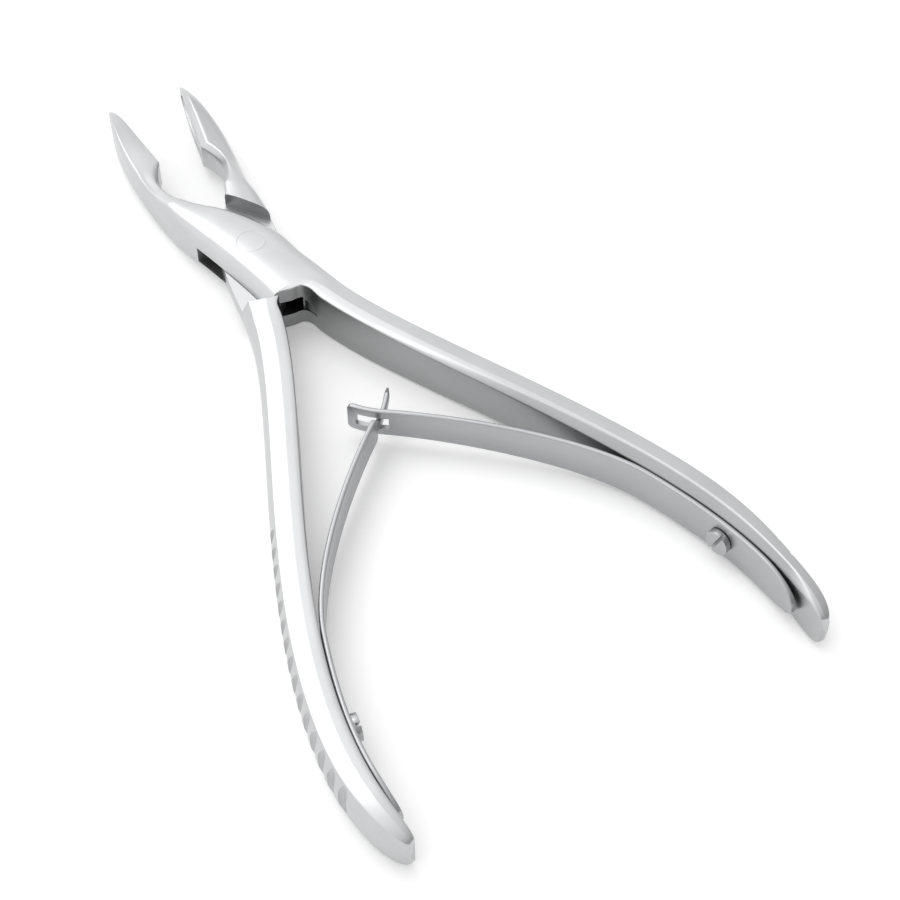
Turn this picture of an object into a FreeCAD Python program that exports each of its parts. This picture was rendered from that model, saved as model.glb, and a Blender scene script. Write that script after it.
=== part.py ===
import FreeCAD, Part
import math
import os

from FreeCAD import Vector

# Bone cutting forceps with a box lock and two leaf springs, lying open on one side.
# Millimetres. The pivot axis is the Z axis, the underside of the lock is at Z = 0,
# +Y points along the closing line towards the jaws, and +X towards the box arm's handle.
# An arm's jaw and handle lie on opposite sides of the pivot. HAND is the X sign of the handle.
BOX_HAND = 1
CROSS_HAND = -1

# Cross-section of an arm, as shares of its width and of its half height.
# Squareness 1 is a flat upright side, and 0 is a rounded back.
BODY_THICKNESS = 8.4
SECTION_FLAT_START = 0.32
SQUARE_EDGE_HEIGHT = 0.86
SQUARE_EDGE_INSET = 0.12
SQUARE_SHOULDER_HEIGHT = 0.97
ROUND_EDGE_HEIGHT = 0.30
ROUND_EDGE_INSET = 0.14
ROUND_SHOULDER_HEIGHT = 0.78
JAW_BACK_SQUARENESS = 0.1
LOCK_SQUARENESS = (0.6, 0.25)
BEND_SQUARENESS = (0.8, 0.2)

# Jaws, measured along and across the line on which the two bite faces meet
BITE_LENGTH = 16.8
JAW_ROOT_GAP = 2.26
JAW_BACK_WIDTH = 5.3
JAW_HALF_HEIGHT = 3.5
JAW_TIP_WIDTH = 1.0
JAW_TAPER_START = 0.35
JAW_TAPER_POWER = 2.4
SPOON_TIP_START = 0.5
SPOON_TIP_END = 1.03
SPOON_HEEL_SHARE = 0.25
BITE_OFFSET = 2.3
BITE_GAP = 0.06
CUP_DEPTH = 1.5
CUP_RIM = 0.55
BITE_STATIONS = (0.0, 0.12, 0.25, 0.5, 0.7, 0.85, 0.94, 1.0)

# Round throat between the bite and the lock
THROAT_LENGTH = 13.5
THROAT_DEPTH = 2.4
THROAT_SHARE = 0.84
NECK_HALF_HEIGHT = 2.4
NECK_SHARE = 0.3
NECK_RISE_POWER = 1.6
THROAT_STATIONS = (0.0, 0.12, 0.3, 0.5, 0.75, 1.0)

# Turn of the cross arm from fully open to closed, and the share of it that the box jaw leans
CLOSING_ANGLE = 16.6
BOX_JAW_LEAN = 2.6

# Box lock
PIN_DIAMETER = 4.6
PIN_CLEARANCE = 0.03
TONGUE_THICKNESS = 2.8
TONGUE_CLEARANCE = 0.12
SLOT_WALL_CLEARANCE = 0.35
SLOT_FRONT = 6.5
SLOT_TAIL = 1.6
LOCK_RADIUS = 12.6
SHOULDER_CLEARANCE = 0.25
JAW_SHOULDER_DISTANCE = 8.3
JAW_SHOULDER_TURN = 36.0

# Plan points of each arm's two sides through the lock, from the jaw to the handle, as they are
# at a lock radius of OUTLINE_RADIUS. The jaw's back comes first, and the bite side second.
OUTLINE_RADIUS = 12.6
BOX_OUTLINE = (
    ((-8.2, 12.4), (-7.9, 9.6), (-7.2, 6.2), (-6.4, 2.6), (-5.7, -0.8), (-4.9, -5.0), (-4.3, -8.6), (-3.9, -11.9)),
    ((-2.6, 12.4), (0.4, 9.4), (2.4, 6.6), (4.3, 2.8), (5.5, -0.4), (6.1, -4.6), (6.8, -7.8), (7.3, -9.9)),
)
CROSS_OUTLINE = (
    ((6.6, 10.6), (6.5, 8.0), (6.1, 4.6), (5.3, 0.6), (4.2, -3.2), (2.4, -6.8), (0.3, -10.2), (-1.9, -12.7)),
    ((1.6, 12.3), (-0.6, 9.4), (-2.6, 6.3), (-4.4, 2.8), (-5.5, -0.8), (-6.3, -4.4), (-6.9, -7.8), (-7.4, -10.7)),
)
# Inner and outer points of the bend between the lock and the handle, at the same lock radius
BOX_BEND = (((-0.8, -12.55), (7.9, -11.8)), ((2.3, -12.5), (8.4, -13.7)))
CROSS_BEND = (((-2.9, -14.1), (-7.95, -12.9)),)

# Handles, each along one curve from the lock to its end
HANDLE_NECK_OFFSET = 5.9
HANDLE_NECK_GAP = 2.9
HANDLE_LEAVE = (11.6, -37.0)
HANDLE_BELLY = (42.0, -79.0)
HANDLE_END = (33.4, -106.2)
HANDLE_WIDTH = 5.35
HANDLE_END_WIDTH = 4.7
HANDLE_TIP_SHARE = 0.10
HANDLE_TIP_SIZE = 0.30
HANDLE_TIP_HEIGHT = 0.35
GRIP_STATIONS = 9
TIP_STATIONS = (0.0, 0.12, 0.3, 0.5, 0.7, 0.85, 0.95, 1.0)

# Grip grooves across the back of each handle
GROOVE_COUNT = 15
GROOVE_PITCH = 3.16
GROOVE_RADIUS = 1.15
GROOVE_DEPTH = 0.55
GROOVE_START = 0.445
GROOVE_SEARCH_STEP = 0.0005

# Leaf springs
LEAF_THICKNESS = 0.8
LEAF_SEAT_GAP = 0.15
LEAF_ROOT_WIDTH = 6.6
LEAF_TIP_WIDTH = 5.0
LEAF_ROOT_SHARE = 0.935
LEAF_LIFT_SHARE = 0.62
LEAF_CROSSING = (0.6, -40.6)
LEAF_HEADING = (-0.79, 0.61)
LEAF_TIP_HEADING = (-0.67, 0.74)
LEAF_ROOT_PULL = 11.0
LEAF_TIP_PULL = 12.0
LEAF_STATIONS = 4
SLOTTED_TIP_REACH = 5.6
TONGUE_TIP_REACH = 7.4
WINDOW_LENGTH = 5.6
WINDOW_HEIGHT = 2.3
WINDOW_END_WALL = 1.3
TONGUE_WIDTH = 1.7
TONGUE_LENGTH = 9.4
TONGUE_POINT_WIDTH = 0.5
TONGUE_POINT_SHARE = 0.65

# Spring screws
SCREW_SHARE = 0.758
SCREW_DIAMETER = 2.6
SCREW_CLEARANCE = 0.03
SCREW_DEPTH = 3.0
SCREW_HOLE_SPARE = 0.3
SCREW_HEAD_DIAMETER = 5.4
SCREW_HEAD_HEIGHT = 1.8
SCREW_HEAD_CHAMFER = 0.3
SCREW_HEAD_GAP = 0.15
SCREW_SLOT_WIDTH = 0.8
SCREW_SLOT_DEPTH = 0.9
SCREW_SLOT_TURN = 24.0
LEAF_HOLE_CLEARANCE = 0.15

HALF = BODY_THICKNESS / 2.0
CROSS_JAW_LEAN = CLOSING_ANGLE - BOX_JAW_LEAN
JAW_ROOT = LOCK_RADIUS + JAW_ROOT_GAP
JAW_LENGTH = JAW_ROOT + THROAT_LENGTH * THROAT_SHARE + BITE_LENGTH
BITE_HEEL = JAW_LENGTH - BITE_LENGTH
SLOT_HEIGHT = TONGUE_THICKNESS + 2.0 * TONGUE_CLEARANCE
FAR = 4.0 * LOCK_RADIUS


# Plan geometry

def flat(point):
    """A plan point, half way up the arms."""
    return Vector(point[0], point[1], 0)


def handed(hand, point):
    """Plan point of one arm, from the same point of the arm whose handle is on the +X side."""
    return Vector(hand * point.x, point.y, 0)


def lock_point(point):
    """Plan point of the lock's outline at the lock's radius."""
    return flat(point) * (LOCK_RADIUS / OUTLINE_RADIUS)


def closed(point):
    """Plan point of the cross arm where it lies when the jaws are closed."""
    return FreeCAD.Rotation(Vector(0, 0, 1), CLOSING_ANGLE).multVec(point)


def bezier(poles, share):
    """Point and tangent of a cubic curve, at a share of its way."""
    rest = 1.0 - share
    weights = (rest ** 3, 3 * rest ** 2 * share, 3 * rest * share ** 2, share ** 3)
    slopes = (rest ** 2, 2 * rest * share, share ** 2)
    point = Vector(0, 0, 0)
    tangent = Vector(0, 0, 0)
    for pole, weight in zip(poles, weights):
        point += pole * weight
    for first, second, slope in zip(poles, poles[1:], slopes):
        tangent += (second - first) * slope
    return point, tangent.normalize()


def across(tangent):
    """Plan direction to the left of a tangent."""
    return Vector(-tangent.y, tangent.x, 0)


# Cross-sections

def blend(rounded, square, squareness):
    return rounded + (square - rounded) * squareness


def section(inner, outer, half_height, squareness):
    """Closed wire with twelve corners between an inner and an outer plan point."""
    def side(start, end, square):
        inset = blend(ROUND_EDGE_INSET, SQUARE_EDGE_INSET, square)
        levels = (
            (0.0, blend(ROUND_EDGE_HEIGHT, SQUARE_EDGE_HEIGHT, square)),
            (inset, blend(ROUND_SHOULDER_HEIGHT, SQUARE_SHOULDER_HEIGHT, square)),
            (SECTION_FLAT_START, 1.0),
        )
        return [start + (end - start) * share + Vector(0, 0, height * half_height) for share, height in levels]

    top = side(inner, outer, squareness[0]) + list(reversed(side(outer, inner, squareness[1])))
    bottom = [Vector(point.x, point.y, -point.z) for point in reversed(top)]
    return Part.makePolygon(top + bottom + [top[0]])


def stretch(sections, ruled=False):
    """Solid through a run of sections."""
    return Part.makeLoft(sections, True, ruled)


# Handles

def handle_line(share):
    """Point and outward normal of the +X handle's middle line, 0 at the lock and 1 at the end."""
    start = (HANDLE_NECK_OFFSET, -LOCK_RADIUS - HANDLE_NECK_GAP)
    poles = [flat(pole) for pole in (start, HANDLE_LEAVE, HANDLE_BELLY, HANDLE_END)]
    point, tangent = bezier(poles, share)
    return point, across(tangent)


def handle_fullness(share):
    """1 along the handle, falling to 0 in a rounded way over its tip."""
    run = max(share - 1.0 + HANDLE_TIP_SHARE, 0.0) / HANDLE_TIP_SHARE
    return math.sqrt(max(1.0 - run * run, 0.0))


def handle_width(share):
    plain = blend(HANDLE_WIDTH, HANDLE_END_WIDTH, share)
    return plain * blend(HANDLE_TIP_SIZE, 1.0, handle_fullness(share))


def handle_edge(hand, share, side):
    """Plan point of a handle's inner (side -1) or outer (side 1) edge."""
    point, outward = handle_line(share)
    return handed(hand, point + outward * (side * handle_width(share) / 2.0))


def handle_section(hand, share):
    half_height = HALF * blend(HANDLE_TIP_HEIGHT, 1.0, handle_fullness(share))
    return section(handle_edge(hand, share, -1), handle_edge(hand, share, 1), half_height, (1.0, 0.0))


def handle(hand):
    """Grip of even height, and its rounded tip."""
    tip_start = 1.0 - HANDLE_TIP_SHARE
    grip_shares = [tip_start * station / GRIP_STATIONS for station in range(GRIP_STATIONS + 1)]
    tip_shares = [tip_start + HANDLE_TIP_SHARE * station for station in TIP_STATIONS]
    return [stretch([handle_section(hand, share) for share in shares]) for shares in (grip_shares, tip_shares)]


# Jaws

def jaw_point(hand, along, out):
    """Plan point of a jaw, from the lengths along and away from its bite line."""
    lean = BOX_JAW_LEAN if hand == BOX_HAND else CROSS_JAW_LEAN
    turn = FreeCAD.Rotation(Vector(0, 0, 1), lean)
    offset = BITE_OFFSET if hand == BOX_HAND else -BITE_OFFSET
    point = turn.multVec(Vector(-offset - out, along, 0))
    return handed(hand, point)


def jaw_back(along):
    """Width of a jaw from its bite line to its back, at a length along it."""
    slim = max(along / JAW_LENGTH - JAW_TAPER_START, 0.0) / (1.0 - JAW_TAPER_START)
    return blend(JAW_BACK_WIDTH, JAW_TIP_WIDTH, slim ** JAW_TAPER_POWER)


def throat_depth(along):
    """Depth of the round throat behind the bite, at a length along the jaw."""
    run = (BITE_HEEL - along) / THROAT_LENGTH
    return THROAT_DEPTH * math.sqrt(max(1.0 - (2.0 * run - 1.0) ** 2, 0.0))


def bite_half_height(share):
    """Half height of a jaw along its bite, like the outline of a spoon."""
    tip = max(share - SPOON_TIP_START, 0.0) / (SPOON_TIP_END - SPOON_TIP_START)
    heel = min(share / SPOON_HEEL_SHARE, 1.0)
    smooth_heel = heel * heel * (3.0 - 2.0 * heel)
    return blend(NECK_HALF_HEIGHT, JAW_HALF_HEIGHT, smooth_heel) * math.sqrt(1.0 - tip * tip)


def bite_section(hand, share):
    """Jaw section in the bite: share 0 at its heel, 1 at the tip."""
    along = BITE_HEEL + BITE_LENGTH * share
    inner = jaw_point(hand, along, BITE_GAP)
    outer = jaw_point(hand, along, jaw_back(along))
    return section(inner, outer, bite_half_height(share), (1.0, JAW_BACK_SQUARENESS))


def throat_section(hand, share):
    """Jaw section in the throat: share 0 at the heel of the bite, 1 at the lock."""
    along = BITE_HEEL - THROAT_LENGTH * THROAT_SHARE * share
    rise = max(share - NECK_SHARE, 0.0) / (1.0 - NECK_SHARE)
    half_height = blend(NECK_HALF_HEIGHT, HALF, rise ** NECK_RISE_POWER)
    inner = jaw_point(hand, along, BITE_GAP + throat_depth(along))
    outer = jaw_point(hand, along, jaw_back(along))
    return section(inner, outer, half_height, (1.0, JAW_BACK_SQUARENESS))


def cup_cutter(hand):
    """Scoop of a jaw's bite face: a long ellipsoid that leaves a rim all round."""
    scale = FreeCAD.Matrix()
    scale.scale(CUP_DEPTH, BITE_LENGTH / 2.0 - CUP_RIM, JAW_HALF_HEIGHT * SQUARE_EDGE_HEIGHT - CUP_RIM)
    scoop = Part.makeSphere(1.0).transformGeometry(scale)
    lean = BOX_JAW_LEAN if hand == BOX_HAND else CROSS_JAW_LEAN
    scoop.rotate(Vector(0, 0, 0), Vector(0, 0, 1), hand * lean)
    scoop.translate(jaw_point(hand, BITE_HEEL + BITE_LENGTH / 2.0, BITE_GAP))
    return scoop


# Lock

def lock_sides(hand):
    outline = BOX_OUTLINE if hand == BOX_HAND else CROSS_OUTLINE
    return [[lock_point(point) for point in side] for side in outline]


def lock_stretches(hand):
    """The lock before it is cut, and the bend from it to the handle."""
    backs, bites = lock_sides(hand)
    lock = [throat_section(hand, 1.0)]
    for back, bite in zip(backs, bites):
        lock.append(section(bite, back, HALF, LOCK_SQUARENESS))
    bend = [section(backs[-1], bites[-1], HALF, LOCK_SQUARENESS[::-1])]
    for inner, outer in BOX_BEND if hand == BOX_HAND else CROSS_BEND:
        bend.append(section(lock_point(inner), lock_point(outer), HALF, BEND_SQUARENESS))
    bend.append(handle_section(hand, 0.0))
    return [stretch(lock, True), stretch(bend, True)]


def arm_body(hand):
    """One forged arm before its lock is cut."""
    bite = stretch([bite_section(hand, share) for share in BITE_STATIONS])
    throat = stretch([throat_section(hand, share) for share in THROAT_STATIONS])
    return bite.multiFuse([throat] + lock_stretches(hand) + handle(hand))


def slot_cutter():
    """The through slot of the box, walled where the closed tongue comes to lie."""
    backs, bites = lock_sides(CROSS_HAND)
    clearance = Vector(SLOT_WALL_CLEARANCE, 0, 0)
    rear_wall = [closed(point) + clearance for point in backs[3:]]
    front_wall = [closed(point) - clearance for point in bites[:3]]
    front = front_wall[0].y + THROAT_DEPTH
    rear = rear_wall[-1].y - SLOT_TAIL
    corners = [(-FAR, SLOT_FRONT), (front_wall[2].x, SLOT_FRONT), front_wall[1], front_wall[0]]
    corners += [(front_wall[0].x, front), (FAR, front), (FAR, rear_wall[0].y)]
    corners += rear_wall + [(rear_wall[-1].x, rear), (-FAR, rear)]
    outline = [flat(corner) for corner in corners]
    slot = Part.Face(Part.makePolygon(outline + [outline[0]])).extrude(Vector(0, 0, SLOT_HEIGHT))
    slot.translate(Vector(0, 0, -SLOT_HEIGHT / 2.0))
    return slot


def cheek_cutters():
    """The two recesses of the cross arm in which the cheeks of the box turn."""
    jaw_side = Part.makeBox(FAR, 2 * FAR, 2 * BODY_THICKNESS)
    jaw_side.translate(Vector(JAW_SHOULDER_DISTANCE, -FAR, -BODY_THICKNESS))
    jaw_side.rotate(Vector(0, 0, 0), Vector(0, 0, 1), JAW_SHOULDER_TURN)
    disc = Part.makeCylinder(LOCK_RADIUS + SHOULDER_CLEARANCE, BODY_THICKNESS)
    upper = disc.translated(Vector(0, 0, TONGUE_THICKNESS / 2.0))
    lower = disc.translated(Vector(0, 0, -TONGUE_THICKNESS / 2.0 - BODY_THICKNESS))
    return [upper.cut(jaw_side), lower.cut(jaw_side)]


def pivot_cylinder(radius, height):
    return Part.makeCylinder(radius, height, Vector(0, 0, -height / 2.0))


# Grip

def groove_shares():
    """Places of the grooves along a handle, evenly spaced on its outer edge."""
    shares = [GROOVE_START]
    share = GROOVE_START
    while len(shares) < GROOVE_COUNT and share < 1.0:
        share += GROOVE_SEARCH_STEP
        step = handle_edge(1, share, 1) - handle_edge(1, shares[-1], 1)
        if step.Length >= GROOVE_PITCH:
            shares.append(share)
    return shares


def groove_cutters(hand):
    """Rounded grooves across the back of a handle."""
    cutters = []
    for share in groove_shares():
        edge = handle_edge(hand, share, 1)
        outward = (edge - handle_edge(hand, share, -1)).normalize()
        centre = edge + outward * (GROOVE_RADIUS - GROOVE_DEPTH)
        cutters.append(Part.makeCylinder(GROOVE_RADIUS, BODY_THICKNESS, centre - Vector(0, 0, HALF)))
    return cutters


# Spring screws

def screw_seat(hand):
    """Point on a handle's inner face where its spring screw stands, and the way it points."""
    seat = handle_edge(hand, SCREW_SHARE, -1)
    return seat, (seat - handle_edge(hand, SCREW_SHARE, 1)).normalize()


def screw_hole(hand, clearance):
    """Hole for the screw's shank through the leaf and into the handle."""
    seat, inward = screw_seat(hand)
    above_seat = 2.0 * LEAF_THICKNESS
    depth = above_seat + SCREW_DEPTH + SCREW_HOLE_SPARE
    return Part.makeCylinder(SCREW_DIAMETER / 2.0 + clearance, depth, seat + inward * above_seat, inward * -1.0)


def spring_screw(hand):
    """Slotted screw, drawn standing on its seat and then laid along the hole."""
    under_head = LEAF_SEAT_GAP + LEAF_THICKNESS + SCREW_HEAD_GAP
    top = under_head + SCREW_HEAD_HEIGHT
    radius = SCREW_HEAD_DIAMETER / 2.0
    shank = Part.makeCylinder(SCREW_DIAMETER / 2.0, SCREW_DEPTH + under_head, Vector(0, 0, -SCREW_DEPTH))
    head = Part.makeCylinder(radius, SCREW_HEAD_HEIGHT - SCREW_HEAD_CHAMFER, Vector(0, 0, under_head))
    rim = Part.makeCone(radius, radius - SCREW_HEAD_CHAMFER, SCREW_HEAD_CHAMFER)
    rim.translate(Vector(0, 0, top - SCREW_HEAD_CHAMFER))
    slot = Part.makeBox(2.0 * SCREW_HEAD_DIAMETER, SCREW_SLOT_WIDTH, SCREW_SLOT_DEPTH)
    slot.translate(Vector(-SCREW_HEAD_DIAMETER, -SCREW_SLOT_WIDTH / 2.0, top - SCREW_SLOT_DEPTH))
    slot.rotate(Vector(0, 0, 0), Vector(0, 0, 1), SCREW_SLOT_TURN)
    screw = shank.multiFuse([head, rim]).cut(slot)
    seat, inward = screw_seat(hand)
    screw.Placement = FreeCAD.Placement(seat, FreeCAD.Rotation(Vector(0, 0, 1), Vector(), inward, "ZXY"))
    return screw


# Leaf springs

def leaf_seat_point(share):
    """Middle of the +X leaf where it lies along the inner face of its handle."""
    point, outward = handle_line(share)
    return point - outward * (handle_width(share) / 2.0 + LEAF_SEAT_GAP + LEAF_THICKNESS / 2.0)


def leaf_bend_poles():
    """Poles of the +X leaf's free bend, from where it lifts off its handle to the crossing."""
    lift = leaf_seat_point(LEAF_LIFT_SHARE)
    upward = handle_line(LEAF_LIFT_SHARE)[1].cross(Vector(0, 0, -1))
    crossing = flat(LEAF_CROSSING)
    heading = flat(LEAF_HEADING).normalize()
    return [lift, lift + upward * LEAF_ROOT_PULL, crossing - heading * LEAF_TIP_PULL, crossing]


def leaf_middle(run, reach):
    """Middle of the +X leaf: run 0 to 1 on the handle, 1 to 2 in the bend, 2 to 3 in the tip."""
    if run < 1.0:
        return leaf_seat_point(blend(LEAF_ROOT_SHARE, LEAF_LIFT_SHARE, run))
    if run < 2.0:
        return bezier(leaf_bend_poles(), run - 1.0)[0]
    heading = flat(LEAF_HEADING).normalize()
    swing = flat(LEAF_TIP_HEADING).normalize()
    tip_share = run - 2.0
    return flat(LEAF_CROSSING) + (heading * (1.0 - tip_share) + swing * tip_share) * (reach * tip_share)


def leaf_section(hand, run, reach, width):
    """Upright oblong section of a leaf."""
    step = 0.001
    ahead = leaf_middle(min(run + step, 3.0), reach)
    behind = leaf_middle(min(run + step, 3.0) - 2.0 * step, reach)
    middle = leaf_middle(run, reach)
    half = across((ahead - behind).normalize()) * (LEAF_THICKNESS / 2.0)
    near = handed(hand, middle - half)
    far = handed(hand, middle + half)
    up = Vector(0, 0, width / 2.0)
    return Part.makePolygon([near - up, near + up, far + up, far - up, near - up])


def leaf_width(run):
    """The leaf keeps its full width on the handle and narrows evenly to its tip."""
    return blend(LEAF_ROOT_WIDTH, LEAF_TIP_WIDTH, min(max(run - 1.0, 0.0), 1.0))


def leaf_body(hand, end, reach):
    """Leaf of full width from its root to a run."""
    runs = [station / LEAF_STATIONS for station in range(3 * LEAF_STATIONS) if station / LEAF_STATIONS < end]
    return stretch([leaf_section(hand, run, reach, leaf_width(run)) for run in runs + [end]])


def slotted_leaf():
    """Leaf of the box arm, with the window that takes the other leaf's tongue."""
    reach = SLOTTED_TIP_REACH
    tip = leaf_middle(3.0, reach)
    window_end = leaf_middle(3.0 - WINDOW_END_WALL / reach, reach)
    towards = (leaf_middle(2.0, reach) - tip).normalize()
    window = Part.makeBox(WINDOW_LENGTH, 6.0 * LEAF_THICKNESS, WINDOW_HEIGHT)
    window.translate(Vector(0, -3.0 * LEAF_THICKNESS, -WINDOW_HEIGHT / 2.0))
    window.rotate(Vector(0, 0, 0), Vector(0, 0, 1), math.degrees(math.atan2(towards.y, towards.x)))
    window.translate(window_end)
    return leaf_body(BOX_HAND, 3.0, reach).cut([window, screw_hole(BOX_HAND, LEAF_HOLE_CLEARANCE)])


def tongue_leaf():
    """Leaf of the cross arm, whose narrow tongue goes through the other leaf's window."""
    reach = TONGUE_TIP_REACH
    bend_length = (leaf_middle(2.0, reach) - leaf_middle(1.0, reach)).Length
    shoulder = 2.0 - (TONGUE_LENGTH - reach) / bend_length
    point_run = 2.0 + TONGUE_POINT_SHARE
    tongue_runs = (shoulder, 2.0, (2.0 + point_run) / 2.0, point_run)
    tongue = stretch([leaf_section(CROSS_HAND, run, reach, TONGUE_WIDTH) for run in tongue_runs])
    point_ends = ((point_run, TONGUE_WIDTH), (3.0, TONGUE_POINT_WIDTH))
    point = stretch([leaf_section(CROSS_HAND, run, reach, width) for run, width in point_ends])
    leaf = leaf_body(CROSS_HAND, shoulder, reach).multiFuse([tongue, point])
    return leaf.cut(screw_hole(CROSS_HAND, LEAF_HOLE_CLEARANCE))


# Nodes

def finished_arm(hand):
    """An arm with its lock, cup, grooves and tapped hole."""
    pin_hole = pivot_cylinder(PIN_DIAMETER / 2.0 + PIN_CLEARANCE, 2.0 * BODY_THICKNESS)
    cutters = groove_cutters(hand) + [cup_cutter(hand), pin_hole, screw_hole(hand, SCREW_CLEARANCE)]
    cutters += [slot_cutter()] if hand == BOX_HAND else cheek_cutters()
    return arm_body(hand).cut(cutters)


def main():
    os.makedirs("parts", exist_ok=True)
    nodes = {
        "box_arm": finished_arm(BOX_HAND),
        "cross_arm": finished_arm(CROSS_HAND),
        "pivot_pin": pivot_cylinder(PIN_DIAMETER / 2.0, BODY_THICKNESS),
        "slotted_leaf_spring": slotted_leaf(),
        "tongue_leaf_spring": tongue_leaf(),
        "slotted_leaf_screw": spring_screw(BOX_HAND),
        "tongue_leaf_screw": spring_screw(CROSS_HAND),
    }
    for name, shape in nodes.items():
        shape.translate(Vector(0, 0, HALF))
        print(name, len(shape.Solids), shape.isValid(), round(shape.Volume, 1))
        shape.exportStep("parts/%s.step" % name)


main()
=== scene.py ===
import math

import bmesh
import bpy
import numpy as np
from bpy.props import FloatProperty, FloatVectorProperty, IntProperty, PointerProperty
from mathutils import Matrix, Vector


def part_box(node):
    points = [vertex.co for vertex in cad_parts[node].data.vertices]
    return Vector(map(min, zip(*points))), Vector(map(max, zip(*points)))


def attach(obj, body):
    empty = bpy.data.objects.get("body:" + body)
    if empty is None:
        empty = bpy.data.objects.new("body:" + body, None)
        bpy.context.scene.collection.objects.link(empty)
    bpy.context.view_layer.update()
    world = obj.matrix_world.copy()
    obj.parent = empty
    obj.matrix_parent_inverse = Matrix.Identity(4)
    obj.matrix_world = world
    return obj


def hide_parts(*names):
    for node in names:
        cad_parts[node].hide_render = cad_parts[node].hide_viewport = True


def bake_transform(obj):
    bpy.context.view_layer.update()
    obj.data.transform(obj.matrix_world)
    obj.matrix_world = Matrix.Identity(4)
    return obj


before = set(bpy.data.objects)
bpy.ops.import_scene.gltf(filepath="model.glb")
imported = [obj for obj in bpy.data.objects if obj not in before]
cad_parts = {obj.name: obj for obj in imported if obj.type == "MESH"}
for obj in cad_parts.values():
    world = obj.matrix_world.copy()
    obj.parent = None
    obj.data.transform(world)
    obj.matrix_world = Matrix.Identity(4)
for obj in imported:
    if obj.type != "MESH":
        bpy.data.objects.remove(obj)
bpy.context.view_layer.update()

bl_info = {
    "name": "Bone Cutting Forceps",
    "version": (1, 0, 0),
    "blender": (4, 5, 0),
    "location": "View3D > Sidebar > Forceps",
    "description": "Builds satin steel bone cutting forceps with a box lock and two leaf springs",
    "category": "Add Mesh",
}

# Lengths are metres. +Y points towards the jaws, +X towards the box arm's handle, and the pivot
# is the Z axis. HAND is the X sign of an arm's handle, and its jaw is on the other side.
MM = 0.001
BOX_HAND = 1
CROSS_HAND = -1
ARM_NODES = {BOX_HAND: "box_arm", CROSS_HAND: "cross_arm"}
LEAF_NODES = {BOX_HAND: "slotted_leaf_spring", CROSS_HAND: "tongue_leaf_spring"}
SCREW_NODES = {BOX_HAND: "slotted_leaf_screw", CROSS_HAND: "tongue_leaf_screw"}

# Taken from the frame
PIN_LOW, PIN_HIGH = (Vector(corner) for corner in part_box("pivot_pin"))
BODY_THICKNESS = PIN_HIGH.z - PIN_LOW.z
PIN_DIAMETER = PIN_HIGH.x - PIN_LOW.x
HALF = BODY_THICKNESS / 2.0
MIDDLE = (PIN_HIGH.z + PIN_LOW.z) / 2.0

# Sides of an arm's section, from the upright edge to the crown. Each corner has its share of the
# width, its share of the half height and its softening in millimetres.
JAW_SECTIONS = {
    BOX_HAND: (
        ((0.0, 0.66, 0.6), (0.06, 0.93, 0.25), (0.12, 1.0, 0.25), (0.30, 0.975, 1.0)),
        ((0.0, 0.80, 0.10), (0.03, 0.85, 0.15), (0.18, 0.895, 0.5), (0.45, 0.945, 1.0)),
    ),
    CROSS_HAND: (
        ((0.0, 0.42, 0.5), (0.10, 0.66, 0.6), (0.36, 0.84, 1.5), (0.66, 0.985, 0.5)),
        ((0.0, 0.74, 0.10), (0.05, 0.80, 0.15), (0.20, 0.98, 0.15), (0.26, 1.0, 0.3)),
    ),
}
THROAT_BITE = ((0.0, 0.50, 0.5), (0.08, 0.70, 0.4), (0.28, 0.985, 0.15), (0.34, 1.0, 0.3))
THROAT_FULL_SHARE = 0.45
LOCK_SECTIONS = {
    BOX_HAND: (
        ((0.0, 0.42, 0.8), (0.09, 0.80, 0.8), (0.17, 0.945, 0.8), (0.36, 1.0, 2.0)),
        ((0.0, 0.60, 0.6), (0.05, 0.86, 0.5), (0.16, 0.955, 1.0), (0.42, 1.0, 2.0)),
    ),
    CROSS_HAND: (
        ((0.0, 0.58, 0.5), (0.06, 0.82, 0.5), (0.20, 0.92, 1.0), (0.50, 0.985, 1.5)),
        ((0.0, 0.80, 0.15), (0.03, 0.94, 0.15), (0.10, 0.985, 0.3), (0.30, 1.0, 0.5)),
    ),
}
BEND_INNER = ((0.0, 0.95, 0.12), (0.02, 0.985, 0.10), (0.10, 0.995, 0.3), (0.34, 1.0, 1.0))
GRIP_START_INNER = ((0.0, 0.93, 0.12), (0.03, 0.975, 0.12), (0.12, 0.99, 0.4), (0.38, 1.0, 1.0))
GRIP_INNER = {
    BOX_HAND: ((0.0, 0.72, 0.3), (0.08, 0.82, 0.5), (0.28, 0.98, 0.15), (0.36, 1.0, 0.5)),
    CROSS_HAND: ((0.0, 0.93, 0.12), (0.03, 0.975, 0.12), (0.12, 0.99, 0.4), (0.36, 1.0, 1.0)),
}
GRIP_OUTER = ((0.0, 0.34, 0.6), (0.165, 0.905, 0.12), (0.38, 0.955, 1.0), (0.60, 0.995, 1.5))
REAR_SECTIONS = {CROSS_HAND: (BEND_INNER, GRIP_OUTER)}
REAR_BLEND_POWER = 3
GRIP_BEVEL_START = 0.12
GRIP_BEVEL_END = 0.60
BEVEL_FADE_START = 0.89
BEVEL_FADE_END = 0.97
SLIM_DEPTH = 1.25 * MM
SLIM_START = 0.58
SLIM_POWER = 1.8

# Jaw, throat and lock, as in the frame
JAW_ROOT = 14.86 * MM
JAW_TAPER_START = 0.35
JAW_TAPER_POWER = 2.7
SPOON_TIP_START = 0.62
SPOON_TIP_END = 1.03
SPOON_HEEL_SHARE = 0.7
THROAT_SHARE = 0.84
THROAT_ROUNDNESS = 2.2
NECK_SHARE = 0.3
NECK_RISE_POWER = 1.6
BITE_OFFSET = 2.3 * MM
BITE_GAP = 0.06 * MM
BOX_JAW_LEAN = math.radians(2.6)
CLOSING_ANGLE = math.radians(16.6)
BITE_EDGE = 0.76
LIP_SHARE = 0.4

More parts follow.
